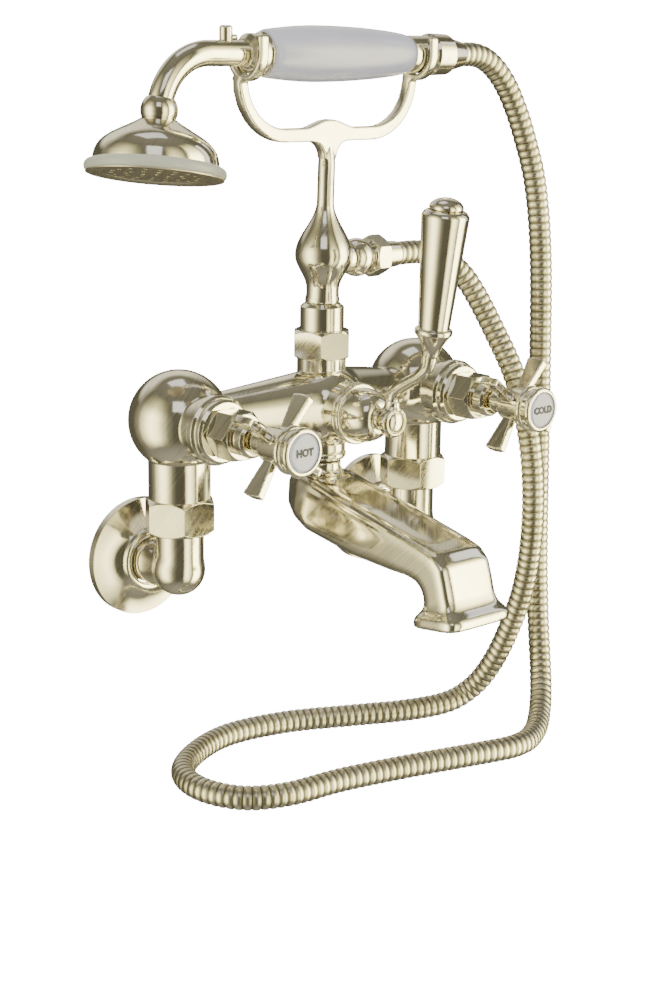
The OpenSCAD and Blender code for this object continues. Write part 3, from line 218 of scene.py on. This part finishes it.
def makeMetal(setup, name, light, dark, roughness):
    material, tree, shader = newMaterial(name)
    shader.inputs["Metallic"].default_value = 1.0
    marks = addNode(tree, "ShaderNodeGroup", node_tree=polishMarks)
    tone = addNode(tree, "ShaderNodeValToRGB")
    setRamp(tone, list(zip(setup["toneStops"], (dark, light))))
    gloss = addNode(tree, "ShaderNodeMapRange")
    gloss.inputs["From Min"].default_value, gloss.inputs["From Max"].default_value = setup["markRange"]
    gloss.inputs["To Min"].default_value, gloss.inputs["To Max"].default_value = roughness
    softEdge = addNode(tree, "ShaderNodeBevel", samples=setup["edgeSamples"], Radius=setup["softEdge"])
    relief = addNode(tree, "ShaderNodeBump", Strength=setup["reliefStrength"], Distance=setup["reliefHeight"])
    streaks = addNode(tree, "ShaderNodeMath", operation="MULTIPLY_ADD")
    streaks.inputs[1].default_value = setup["streakShare"]
    lower = addNode(tree, "ShaderNodeMath", operation="SUBTRACT")
    lower.inputs[1].default_value = setup["streakMiddle"]
    link = tree.links.new
    link(marks.outputs["Marks"], streaks.inputs[0])
    link(marks.outputs["Clouds"], streaks.inputs[2])
    link(streaks.outputs[0], lower.inputs[0])
    link(lower.outputs[0], tone.inputs["Fac"])
    link(tone.outputs["Color"], shader.inputs["Base Color"])
    link(marks.outputs["Marks"], gloss.inputs["Value"])
    link(gloss.outputs["Result"], shader.inputs["Roughness"])
    link(marks.outputs["Marks"], relief.inputs["Height"])
    link(softEdge.outputs["Normal"], relief.inputs["Normal"])
    link(relief.outputs["Normal"], shader.inputs["Normal"])
    return material


# glazed or matt ware: faint specks under a clear coat
wareSetup = {
    "toneStops": (0.45, 0.85),
    "speckShare": 0.35,
    "speckDetail": 2.0,
    "coatRoughness": 0.04,
}


def makeWare(setup, name, light, dark, roughness, coat, speckScale=900.0):
    material, tree, shader = newMaterial(name)
    shader.inputs["Coat Weight"].default_value = coat
    shader.inputs["Coat Roughness"].default_value = setup["coatRoughness"]
    marks = addNode(tree, "ShaderNodeGroup", node_tree=polishMarks)
    specks = addNode(tree, "ShaderNodeTexNoise", Scale=speckScale, Detail=setup["speckDetail"])
    coords = addNode(tree, "ShaderNodeTexCoord")
    both = addNode(tree, "ShaderNodeMath", operation="MULTIPLY_ADD")
    both.inputs[1].default_value = setup["speckShare"]
    tone = addNode(tree, "ShaderNodeValToRGB")
    setRamp(tone, list(zip(setup["toneStops"], (dark, light))))
    gloss = addNode(tree, "ShaderNodeMapRange")
    gloss.inputs["To Min"].default_value, gloss.inputs["To Max"].default_value = roughness
    link = tree.links.new
    link(coords.outputs["Object"], specks.inputs["Vector"])
    link(specks.outputs["Fac"], both.inputs[0])
    link(marks.outputs["Clouds"], both.inputs[2])
    link(both.outputs[0], tone.inputs["Fac"])
    link(tone.outputs["Color"], shader.inputs["Base Color"])
    link(specks.outputs["Fac"], gloss.inputs["Value"])
    link(gloss.outputs["Result"], shader.inputs["Roughness"])
    return material


# each slot's material: name, light tone, dark tone, range of roughness,
# and for ware its coat and, where it differs, the fineness of its specks
metals = {
    "nickel": ("polishedNickel", (0.87, 0.84, 0.75), (0.72, 0.69, 0.61), (0.07, 0.15)),
    "face_metal": ("sprayFaceNickel", (0.87, 0.82, 0.72), (0.79, 0.74, 0.64), (0.30, 0.38)),
    "brass": ("plainBrass", (0.82, 0.73, 0.48), (0.72, 0.63, 0.40), (0.20, 0.34)),
}
wares = {
    "porcelain": ("glazedPorcelain", (0.84, 0.84, 0.94), (0.78, 0.78, 0.88), (0.18, 0.26), 0.5),
    "ceramic": ("valveCeramic", (0.90, 0.89, 0.85), (0.84, 0.83, 0.79), (0.25, 0.35), 0.1),
    "rim_grey": ("rimRing", (0.74, 0.75, 0.55), (0.68, 0.69, 0.50), (0.34, 0.44), 0.15),
    "rubber": ("sealRubber", (0.05, 0.05, 0.05), (0.03, 0.03, 0.03), (0.55, 0.70), 0.0),
    "fibre": ("fibreWasher", (0.42, 0.22, 0.14), (0.33, 0.16, 0.10), (0.70, 0.85), 0.0, 2600.0),
}
finishes = {slot: makeMetal(metalSetup, *look) for slot, look in metals.items()}
finishes.update({slot: makeWare(wareSetup, *look) for slot, look in wares.items()})
for node in nodes.values():
    for place in node.material_slots:
        place.material = finishes[place.material.name]
print("finishes:", len(finishes))


# hose route in mm: arch from the handset's end, loop with its depth from the body's axis,
# last stretch from the outlet's end
hoseSetup = {
    "arch": [(0, 0, 0), (13, 0, 0), (24, -0.5, -3.5), (34, -2, -12), (42.5, -4, -25), (51, -7, -46)],
    "loop": [
        (154, -17, 204), (157, -21, 160), (156, -25, 95), (155, -28, 30), (154, -31, -25), (151, -37, -66),
        (144, -47, -96), (130, -60, -113), (108, -75, -119), (82, -84, -118), (50, -79, -117),
        (10, -68, -117), (-34, -58, -117), (-70, -54, -117), (-93, -42, -117), (-103, -18, -117),
        (-97, 7, -117), (-74, 26, -117), (-40, 37, -117), (0, 31, -117), (36, 15, -117), (68, 0, -117),
        (94, -9, -116), (110, -14, -111), (119, -23, -97), (124, -34, -72), (127, -45, -36), (127, -50, 6),
        (127, -46, 50), (125, -34, 90), (119, -19, 121), (109, -8, 147),
    ],
    "tail": [(42.5, -5, -8), (31.5, -3, -2), (18, -0.5, 0), (0, 0, 0)],
    "behindHandset": 6 * mm,  # the body's axis, from the handset's
    "diameter": 14 * mm,
    "pitch": 4.5 * mm,
    "sides": 20,
    # one rib: share of the pitch, share of the radius, how deep in the groove, which also sets how much
    # painted shade the groove gets
    "rib": [
        (0.0, 0.915, 1.0), (0.14, 0.955, 0.45), (0.32, 0.988, 0.05),
        (0.5, 1.0, 0.0), (0.68, 0.988, 0.05), (0.86, 0.955, 0.45),
    ],
    "smoothAngle": 60,
    "tones": [(0.32, (0.64, 0.61, 0.52)), (0.62, (0.78, 0.75, 0.66))],
    # dark colour painted into the grooves as shade
    "grooveShadeColour": (0.10, 0.09, 0.05),
    "roughness": (0.28, 0.50),  # on the crest, in the groove
    "stepsPerPoint": 12,
    "followFrom": 0.172,  # heights in m of the hose's stretch by the handset
    "followTo": 0.276,
}


def sleeveEnd(node):
    low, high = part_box(node)
    return Vector((high.x, (low.y + high.y) / 2, (low.z + high.z) / 2))


# smooth curve through the points
def smoothPath(route, steps):
    path = []
    for k in range(len(route) - 1):
        b, c = route[k], route[k + 1]
        a = route[k - 1] if k else 2 * b - c
        d = route[k + 2] if k + 2 < len(route) else 2 * c - b
        for step in range(steps):
            t = step / steps
            path.append((2 * b + (c - a) * t + (2 * a - 5 * b + 4 * c - d) * t * t
                         + (3 * b - a - 3 * c + d) * t ** 3) / 2)
    return path + [route[-1]]


def hosePath(setup):
    handsetEnd, outletEnd = sleeveEnd("handset_hose_sleeve"), sleeveEnd("outlet_hose_sleeve")
    depth = Vector((0, handsetEnd.y + setup["behindHandset"], 0))
    route = [handsetEnd + Vector(p) * mm for p in setup["arch"]]
    route += [depth + Vector(p) * mm for p in setup["loop"]]
    route += [outletEnd + Vector(p) * mm for p in setup["tail"]]
    route.reverse()
    return smoothPath(route, setup["stepsPerPoint"])


# points at given lengths along a path
def walkPath(path, lengths):
    places, walked, k = [], 0.0, 0
    for wanted in lengths:
        while k < len(path) - 2 and walked + (path[k + 1] - path[k]).length < wanted:
            walked += (path[k + 1] - path[k]).length
            k += 1
        step = path[k + 1] - path[k]
        places.append(path[k] + step * ((wanted - walked) / step.length))
    return places


# rings drawn out one from another: each frame places a circle of radius 1
def drawRings(bm, frames, sides):
    ring = bmesh.ops.create_circle(bm, segments=sides, radius=1.0)["verts"]
    edges, last, rings = bm.edges[:], Matrix(), []
    for k, here in enumerate(frames):
        if k:
            grown = bmesh.ops.extrude_edge_only(bm, edges=edges)["geom"]
            ring = [g for g in grown if isinstance(g, bmesh.types.BMVert)]
            edges = [g for g in grown if isinstance(g, bmesh.types.BMEdge)]
        bmesh.ops.transform(bm, matrix=here @ last.inverted(), verts=ring)
        last = here
        rings.append(ring)
    return rings


def makeHose(setup):
    path = hosePath(setup)
    length = sum((b - a).length for a, b in zip(path, path[1:]))
    ribs = round(length / setup["pitch"])
    rings = [((k + at) / ribs * length, share, deep) for k in range(ribs) for at, share, deep in setup["rib"]]
    rings.append((length, *setup["rib"][0][1:]))
    points = walkPath(path, [r[0] for r in rings])
    bm = bmesh.new()
    deepLayer = bm.verts.layers.float.new("groove")
    radius = setup["diameter"] / 2
    side, frames = Vector((0, 0, 1)), []
    for k, (point, (at, share, deep)) in enumerate(zip(points, rings)):
        heading = points[min(k + 1, len(points) - 1)] - points[max(k - 1, 0)]
        if k in (0, len(points) - 1):
            heading = Vector((1 if k == 0 else -1, 0, 0))
        heading.normalize()
        side = (side - heading * side.dot(heading)).normalized()
        turn = Matrix((side, heading.cross(side), heading)).transposed().to_4x4()
        frames.append(Matrix.Translation(point) @ turn @ Matrix.Scale(radius * share, 4))
    for circle, (at, share, deep) in zip(drawRings(bm, frames, setup["sides"]), rings):
        for vert in circle:
            vert[deepLayer] = deep
    bmesh.ops.holes_fill(bm, edges=[e for e in bm.edges if e.is_boundary], sides=0)
    bmesh.ops.recalc_face_normals(bm, faces=bm.faces[:])
    hose = makeObject("ribbedHose", bm, makeHoseMetal(setup), setup["smoothAngle"])
    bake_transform(hose)
    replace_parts(hose, "hose")
    print("hose:", round(length, 3), "m,", ribs, "ribs,", len(hose.data.polygons), "faces")


# hose metal: the nickel with painted shade darkening the grooves
def makeHoseMetal(setup):
    material, tree, shader = newMaterial("hoseNickel")
    shader.inputs["Metallic"].default_value = 1.0
    marks = addNode(tree, "ShaderNodeGroup", node_tree=polishMarks)
    tone = addNode(tree, "ShaderNodeValToRGB")
    setRamp(tone, setup["tones"])
    groove = addNode(tree, "ShaderNodeAttribute", attribute_name="groove")
    # painted shade: the dark groove colour is mixed in by how deep the groove is
    grooveShade = addNode(tree, "ShaderNodeMix", data_type="RGBA")
    grooveShade.inputs["B"].default_value = (*setup["grooveShadeColour"], 1)
    gloss = addNode(tree, "ShaderNodeMapRange")
    gloss.inputs["To Min"].default_value, gloss.inputs["To Max"].default_value = setup["roughness"]
    link = tree.links.new
    link(marks.outputs["Clouds"], tone.inputs["Fac"])
    link(tone.outputs["Color"], grooveShade.inputs["A"])
    link(groove.outputs["Fac"], grooveShade.inputs["Factor"])
    link(grooveShade.outputs["Result"], shader.inputs["Base Color"])
    link(groove.outputs["Fac"], gloss.inputs["Value"])
    link(gloss.outputs["Result"], shader.inputs["Roughness"])
    return material


makeHose(hoseSetup)


# turned and cast pieces: the node's own shape, merged so that its curves shade as one surface,
# with the angle above which an edge stays sharp
skinned = {
    "hot_wall_flange": 40, "cold_wall_flange": 40, "hot_bonnet": 30, "cold_bonnet": 30,
    "hot_gland_nut": 30, "cold_gland_nut": 30, "hot_bezel": 50, "cold_bezel": 50,
    "hot_index": 40, "cold_index": 40,
    "mixer_body": 40, "diverter_housing": 35, "lever_grip": 40, "lever_cap": 50,
    "lever_screw": 50, "spout_ring": 50, "riser_collar": 35,
    "hose_outlet": 30, "front_ferrule": 30, "rear_ferrule": 30,
    "head_collar": 50, "face_plate": 30, "handset_tube": 40,
}
bodyOf = {n: body for body, members in frame["record"]["behaviour"]["bodies"].items() for n in members}


def skinName(node):
    words = node.split("_")
    return words[0] + "".join(w.capitalize() for w in words[1:]) + "Skin"


def makeSkin(node, angle):
    bm = bmesh.new()
    bm.from_mesh(nodes[node].data)
    bmesh.ops.remove_doubles(bm, verts=bm.verts[:], dist=mergeGap)
    material = nodes[node].material_slots[0].material
    skin = makeObject(skinName(node), bm, material, angle)
    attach(skin, bodyOf[node])
    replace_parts(skin, node)
    return skin


for node, angle in skinned.items():
    makeSkin(node, angle)
print("skins:", len(skinned))

# cast pieces: their edges are melted round, as on a polished casting.
# For each its grain in mm, rounds of smoothing, and how much of the top stays sharp, in mm
easeShare = 0.5
castingAngle = 180
castings = {
    "cradle": (0.75, 9, 0), "spout": (0.8, 26, 9), "lever_arm": (0.5, 6, 0),
    "hot_cross_handle": (0.5, 5, 0), "cold_cross_handle": (0.5, 5, 0),
    "hot_inlet_elbow": (0.9, 30, 6), "cold_inlet_elbow": (0.9, 30, 6),
}


# lever crank: one smooth bend in place of the straight rod, in mm.
# Its route has half the thickness, then the place from the eye's middle
crankSetup = {
    "eyeMiddle": 3.25,  # from the arm's back
    "cutOut": (11.0, 40.0),
    "route": [
        (5.6, 0, 6.5), (4.3, 0, 9.5), (3.7, 0, 12.5), (3.9, -1.9, 16.8), (3.9, -6.8, 20.6), (3.7, -14, 24.6),
        (3.7, -20.8, 28.4), (3.9, -25.4, 32.2), (4.1, -27.6, 36.8), (4.6, -28.3, 41), (4.6, -28.5, 43),
    ],
    "stepsPerPoint": 8,
    "sides": 24,
}


def addCrank(arm, setup):
    low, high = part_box("lever_screw")
    eye = Vector((0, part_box("lever_arm")[1].y - setup["eyeMiddle"] * mm, (low.z + high.z) / 2))
    path = smoothPath([Vector(p) * mm for p in setup["route"]], setup["stepsPerPoint"])
    across, frames = Vector((1, 0, 0)), []
    for k, point in enumerate(path):
        heading = path[min(k + 1, len(path) - 1)] - path[max(k - 1, 0)]
        heading = Vector((0, heading.y, heading.z)).normalized()
        turn = Matrix((across, heading.cross(across), heading)).transposed().to_4x4()
        place = Matrix.Translation(eye + Vector((0, point.y, point.z)))
        frames.append(place @ turn @ Matrix.Scale(point.x, 4))
    crank = bmesh.new()
    drawRings(crank, frames, setup["sides"])
    kept = [crank]
    for height, above in zip(setup["cutOut"], (True, False)):
        half = bmesh.new()
        half.from_mesh(arm.data)
        bmesh.ops.bisect_plane(
            half, geom=half.verts[:] + half.edges[:] + half.faces[:],
            plane_co=eye + Vector((0, 0, height * mm)), plane_no=(0, 0, 1),
            clear_outer=above, clear_inner=not above,
        )
        kept.append(half)
    joined = bmesh.new()
    for bm in kept:
        bmesh.ops.holes_fill(bm, edges=[e for e in bm.edges if e.is_boundary], sides=0)
        bmesh.ops.recalc_face_normals(bm, faces=bm.faces[:])
        piece = bpy.data.meshes.new("crankPiece")
        bm.to_mesh(piece)
        joined.from_mesh(piece)
        bm.free()
        bpy.data.meshes.remove(piece)
    joined.to_mesh(arm.data)
    joined.free()


def applyModifiers(obj):
    shaped = obj.evaluated_get(bpy.context.evaluated_depsgraph_get())
    mesh = bpy.data.meshes.new_from_object(shaped)
    obj.modifiers.clear()
    obj.data = mesh


def makeCasting(node, grain, rounds, sharpTop):
    casting = makeSkin(node, castingAngle)
    if node == "lever_arm":
        addCrank(casting, crankSetup)
    melt = casting.modifiers.new("melt", "REMESH")
    melt.mode, melt.voxel_size, melt.use_smooth_shade = "VOXEL", grain * mm, True
    applyModifiers(casting)
    top = max(v.co.z for v in casting.data.vertices) - sharpTop * mm
    eased = casting.vertex_groups.new(name="eased")
    eased.add([v.index for v in casting.data.vertices if v.co.z <= top], 1.0, "REPLACE")
    ease = casting.modifiers.new("ease", "SMOOTH")
    ease.factor, ease.iterations, ease.vertex_group = easeShare, rounds, eased.name
    applyModifiers(casting)
    print("  ", casting.name, len(casting.data.polygons), "faces")


for node, (grain, rounds, sharpTop) in castings.items():
    makeCasting(node, grain, rounds, sharpTop)
print("castings:", len(castings))

# handset pieces, each turned on its own axis, with knots and handles in mm.
# On the head: distance from the axis and height over the rim's middle.
# On the barrel: distance from the axis and place from its front end
turnedSetup = {
    "bell": [[(8.8, 25.5), (22.0, 17.0), (32.0, 15.5), (32.4, 3.0)]],
    "rim": [
        [(31.6, 3.2), (34.6, 3.2), (36.5, 1.8), (36.4, -0.6)],
        [(36.4, -0.6), (36.3, -2.2), (35.6, -3.1), (33.6, -3.2)],
        [(33.6, -3.2), (32.4, -3.2), (31.6, -3.2), (31.6, 3.2)],
    ],
    "faceEdge": [
        [(27.0, -2.7), (29.0, -3.5), (33.0, -4.0), (35.0, -3.7)],
        [(35.0, -3.7), (35.6, -3.6), (35.6, -3.0), (34.8, -2.9)],
        [(34.8, -2.9), (33.0, -2.4), (29.0, -2.2), (27.0, -2.7)],
    ],
    "barrel": [
        [(10.6, 0.0), (12.0, 0.0), (12.5, 0.8), (12.8, 2.5)],
        [(12.8, 2.5), (14.2, 16.0), (15.0, 26.0), (15.0, 38.0)],
        [(15.0, 38.0), (15.0, 64.0), (13.0, 90.0), (11.2, 100.0)],
        [(11.2, 100.0), (10.6, 103.0), (10.2, 104.0), (9.4, 104.0)],
    ],
    "steps": 14,
    "sides": 96,
    "smoothAngle": 40,
    "facingUp": 0.9,  # a face of the plate whose normal is this upright gives the head's axis
}


def headPlace(setup):
    low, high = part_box("head_rim")
    faces = nodes["face_plate"].data.polygons
    axis = sum((f.normal * f.area for f in faces if f.normal.z > setup["facingUp"]), Vector())
    return Matrix.Translation((low + high) / 2) @ axis.to_track_quat("Z", "Y").to_matrix().to_4x4()


def barrelPlace():
    low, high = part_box("barrel")
    front = Vector((low.x, (low.y + high.y) / 2, (low.z + high.z) / 2))
    return Matrix.Translation(front) @ Matrix.Rotation(math.radians(90), 4, "Y")


def turnPiece(name, place, curves, slot, setup):
    profile = []
    for curve in curves:
        profile += interpolate_bezier(*[Vector((*p, 0)) for p in curve], setup["steps"])
    frames = [place @ Matrix.Translation((0, 0, p.y * mm)) @ Matrix.Scale(p.x * mm, 4) for p in profile]
    bm = bmesh.new()
    drawRings(bm, frames, setup["sides"])
    bmesh.ops.remove_doubles(bm, verts=bm.verts[:], dist=mergeGap)
    bmesh.ops.holes_fill(bm, edges=[e for e in bm.edges if e.is_boundary], sides=0)
    bmesh.ops.recalc_face_normals(bm, faces=bm.faces[:])
    piece = makeObject(name, bm, finishes[slot], setup["smoothAngle"])
    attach(piece, "handset")
    return piece


def makeTurned(setup):
    head, barrel = headPlace(setup), barrelPlace()
    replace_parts(turnPiece("headBell", head, setup["bell"], "nickel", setup), "head_dome")
    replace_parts(turnPiece("rimRing", head, setup["rim"], "rim_grey", setup), "head_rim")
    turnPiece("faceEdge", head, setup["faceEdge"], "face_metal", setup)
    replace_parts(turnPiece("porcelainBarrel", barrel, setup["barrel"], "porcelain", setup), "barrel")
    print("turned: bell, rim, face edge, barrel")


makeTurned(turnedSetup)

# the two words on the porcelain discs
wordSetup = {
    "words": {"hot_index": "HOT", "cold_index": "COLD"},
    "letterHeight": 3.7 * mm,
    "capitalShare": 0.7,  # of the type size
    "bold": 0.085,
    "inkDepth": 0.12 * mm,
    "ink": ("slateInk", (0.030, 0.034, 0.060), (0.022, 0.025, 0.045), (0.45, 0.60), 0.0),
    "smoothAngle": 30,
}


def makeWords(setup):
    ink = makeWare(wareSetup, *setup["ink"])
    for node, word in setup["words"].items():
        low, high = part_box(node)
        curve = bpy.data.curves.new(word, "FONT")
        curve.body, curve.size = word, setup["letterHeight"] / setup["capitalShare"]
        curve.align_x, curve.align_y = "CENTER", "CENTER"
        curve.offset = setup["bold"] * setup["letterHeight"]
        curve.extrude = setup["inkDepth"] / 2
        flat = bpy.data.objects.new(word, curve)
        bpy.context.scene.collection.objects.link(flat)
        bpy.context.view_layer.update()
        bm = bmesh.new()
        bm.from_mesh(flat.evaluated_get(bpy.context.evaluated_depsgraph_get()).to_mesh())
        bpy.data.objects.remove(flat)
        place = Matrix.Translation(((low.x + high.x) / 2, low.y, (low.z + high.z) / 2))
        stand = Matrix.Rotation(math.radians(90), 4, "X")
        bmesh.ops.transform(bm, matrix=place @ stand, verts=bm.verts)
        letters = makeObject(word.lower() + "Word", bm, ink, setup["smoothAngle"])
        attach(letters, bodyOf[node])
    print("words:", ", ".join(setup["words"].values()))


makeWords(wordSetup)


# floor just under the hose, soft boxes, and what the metal mirrors
studioSetup = {
    "floorDrop": 0.6 * mm,
    "floorRadius": 6.0,
    "floorSides": 64,
    "floorRoughness": 0.9,
    "floorColour": (0.93, 0.93, 0.92),
    "floorGlow": 16.0,  # the eye sees a floor as white as the room
    "roomLight": 17.0,
    "softLight": 0.90,
    # share of a turn from -X towards -Y, and what the metal sees there
    "panels": [
        (0.000, (4.6, 4.2, 2.1)), (0.040, (1.5, 1.37, 0.72)), (0.075, (0.36, 0.33, 0.22)),
        (0.115, (0.135, 0.126, 0.081)), (0.203, (0.125, 0.116, 0.075)), (0.224, (3.6, 3.28, 1.65)),
        (0.250, (5.5, 5.0, 2.5)), (0.300, (2.0, 1.82, 0.95)), (0.315, (0.30, 0.277, 0.19)),
        (0.328, (0.40, 0.37, 0.25)), (0.345, (12.5, 11.4, 5.6)), (0.415, (9.5, 8.6, 4.2)),
        (0.440, (0.80, 0.74, 0.46)), (0.465, (0.135, 0.126, 0.081)), (0.620, (0.12, 0.112, 0.072)),
        (0.800, (0.125, 0.116, 0.075)), (0.860, (0.42, 0.385, 0.25)), (0.910, (2.4, 2.19, 1.15)),
        (0.960, (5.5, 5.0, 2.5)), (1.000, (4.6, 4.2, 2.1)),
    ],
    # straight down to straight up: how much the ground or the ceiling takes the panels' place, and its colour
    "takesOver": [(0.12, 1.0), (0.24, 0.15), (0.36, 0.0), (0.60, 0.0), (0.74, 0.7), (0.90, 1.0)],
    "groundAndCeiling": [
        (0.00, (0.45, 0.42, 0.31)), (0.20, (0.17, 0.158, 0.105)), (0.60, (0.135, 0.126, 0.081)),
        (0.84, (0.15, 0.14, 0.09)), (1.00, (0.28, 0.26, 0.185)),
    ],
    # light behind and above the object: where it lies round the turn, at what height, and its colour
    "backAround": [(0.54, 0.0), (0.62, 1.0), (0.76, 1.0), (0.84, 0.0)],
    "backHeight": [(0.62, 0.0), (0.69, 1.0), (0.82, 1.0), (0.90, 0.0)],
    "backColour": (1.3, 1.22, 0.90),
    "aimAt": (0, -0.06, 0.1),
    # name, place, size, watts, colour
    "softBoxes": [
        ("keyBox", (-1.1, -1.3, 1.5), (0.9, 0.9), 3.5, (1.0, 0.99, 0.96)),
        ("sideStrip", (1.5, -0.5, 0.7), (0.3, 1.4), 2, (1.0, 0.99, 0.97)),
        ("topBox", (0.1, 0.3, 1.9), (0.8, 0.8), 2, (1.0, 1.0, 1.0)),
    ],
}


def addStudio(setup):
    bm = bmesh.new()
    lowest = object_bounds()[0][2]
    bmesh.ops.create_circle(bm, cap_ends=True, segments=setup["floorSides"], radius=setup["floorRadius"])
    bmesh.ops.translate(bm, verts=bm.verts, vec=(0, 0, lowest - setup["floorDrop"]))
    material, tree, shader = newMaterial("paleFloor")
    shader.inputs["Roughness"].default_value = setup["floorRoughness"]
    shader.inputs["Base Color"].default_value = (*setup["floorColour"], 1)
    shader.inputs["Emission Color"].default_value = (1, 1, 1, 1)
    ray = addNode(tree, "ShaderNodeLightPath")
    glow = addNode(tree, "ShaderNodeMath", operation="MULTIPLY")
    glow.inputs[1].default_value = setup["floorGlow"]
    tree.links.new(ray.outputs["Is Camera Ray"], glow.inputs[0])
    tree.links.new(glow.outputs[0], shader.inputs["Emission Strength"])
    floor = makeObject("floor", bm, material)
    floor.visible_glossy = False  # the metal sees the surroundings' own ground
    floor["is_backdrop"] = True
    for name, place, size, watts, colour in setup["softBoxes"]:
        light = bpy.data.lights.new(name, "AREA")
        light.shape, light.size, light.size_y = "RECTANGLE", *size
        light.energy, light.color = watts, colour
        box = bpy.data.objects.new(name, light)
        aim = Vector(setup["aimAt"]) - Vector(place)
        box.matrix_world = Matrix.Translation(place) @ aim.to_track_quat("-Z", "Y").to_matrix().to_4x4()
        bpy.context.scene.collection.objects.link(box)
    addSurroundings(setup)


def addRamp(tree, stops):
    ramp = addNode(tree, "ShaderNodeValToRGB")
    setRamp(ramp, stops)
    return ramp


# a ramp of plain shares from 0 to 1
def addShares(tree, stops):
    return addRamp(tree, [(at, (share, share, share)) for at, share in stops])


# white for the eye, soft for matt surfaces; what the metal mirrors has bright panels and dark gaps
def addSurroundings(setup):
    world = bpy.data.worlds.new("studio")
    world.use_nodes = True
    bpy.context.scene.world = world
    tree = world.node_tree
    soft = tree.nodes["Background"]
    soft.inputs["Color"].default_value = (1, 1, 1, 1)
    soft.inputs["Strength"].default_value = setup["softLight"]
    coords = addNode(tree, "ShaderNodeTexCoord")
    split = addNode(tree, "ShaderNodeSeparateXYZ")
    around = addNode(tree, "ShaderNodeTexGradient", gradient_type="RADIAL")
    panels = addRamp(tree, setup["panels"])
    height = addNode(tree, "ShaderNodeMath", operation="MULTIPLY_ADD")
    height.inputs[1].default_value, height.inputs[2].default_value = 0.5, 0.5
    takesOver = addShares(tree, setup["takesOver"])
    otherwise = addRamp(tree, setup["groundAndCeiling"])
    mixed = addNode(tree, "ShaderNodeMix", data_type="RGBA")
    backAround = addShares(tree, setup["backAround"])
    backHeight = addShares(tree, setup["backHeight"])
    backShare = addNode(tree, "ShaderNodeMath", operation="MULTIPLY")
    withBack = addNode(tree, "ShaderNodeMix", data_type="RGBA")
    withBack.inputs["B"].default_value = (*setup["backColour"], 1)
    mirrored = addNode(tree, "ShaderNodeBackground")
    seen = addNode(tree, "ShaderNodeBackground", Strength=setup["roomLight"])
    seen.inputs["Color"].default_value = (1, 1, 1, 1)
    ray = addNode(tree, "ShaderNodeLightPath")
    chooseMetal = addNode(tree, "ShaderNodeMixShader")
    chooseEye = addNode(tree, "ShaderNodeMixShader")
    link = tree.links.new
    link(coords.outputs["Generated"], split.inputs[0])
    link(coords.outputs["Generated"], around.inputs[0])
    link(around.outputs["Fac"], panels.inputs["Fac"])
    link(split.outputs["Z"], height.inputs[0])
    link(height.outputs[0], takesOver.inputs["Fac"])
    link(height.outputs[0], otherwise.inputs["Fac"])
    link(takesOver.outputs["Color"], mixed.inputs["Factor"])
    link(panels.outputs["Color"], mixed.inputs["A"])
    link(otherwise.outputs["Color"], mixed.inputs["B"])
    link(around.outputs["Fac"], backAround.inputs["Fac"])
    link(height.outputs[0], backHeight.inputs["Fac"])
    link(backAround.outputs["Color"], backShare.inputs[0])
    link(backHeight.outputs["Color"], backShare.inputs[1])
    link(backShare.outputs[0], withBack.inputs["Factor"])
    link(mixed.outputs["Result"], withBack.inputs["A"])
    link(withBack.outputs["Result"], mirrored.inputs["Color"])
    link(ray.outputs["Is Glossy Ray"], chooseMetal.inputs["Fac"])
    link(soft.outputs[0], chooseMetal.inputs[1])
    link(mirrored.outputs[0], chooseMetal.inputs[2])
    link(ray.outputs["Is Camera Ray"], chooseEye.inputs["Fac"])
    link(chooseMetal.outputs[0], chooseEye.inputs[1])
    link(seen.outputs[0], chooseEye.inputs[2])
    link(chooseEye.outputs[0], tree.nodes["World Output"].inputs["Surface"])


addStudio(studioSetup)
print("studio: floor and", len(studioSetup["softBoxes"]), "soft boxes")
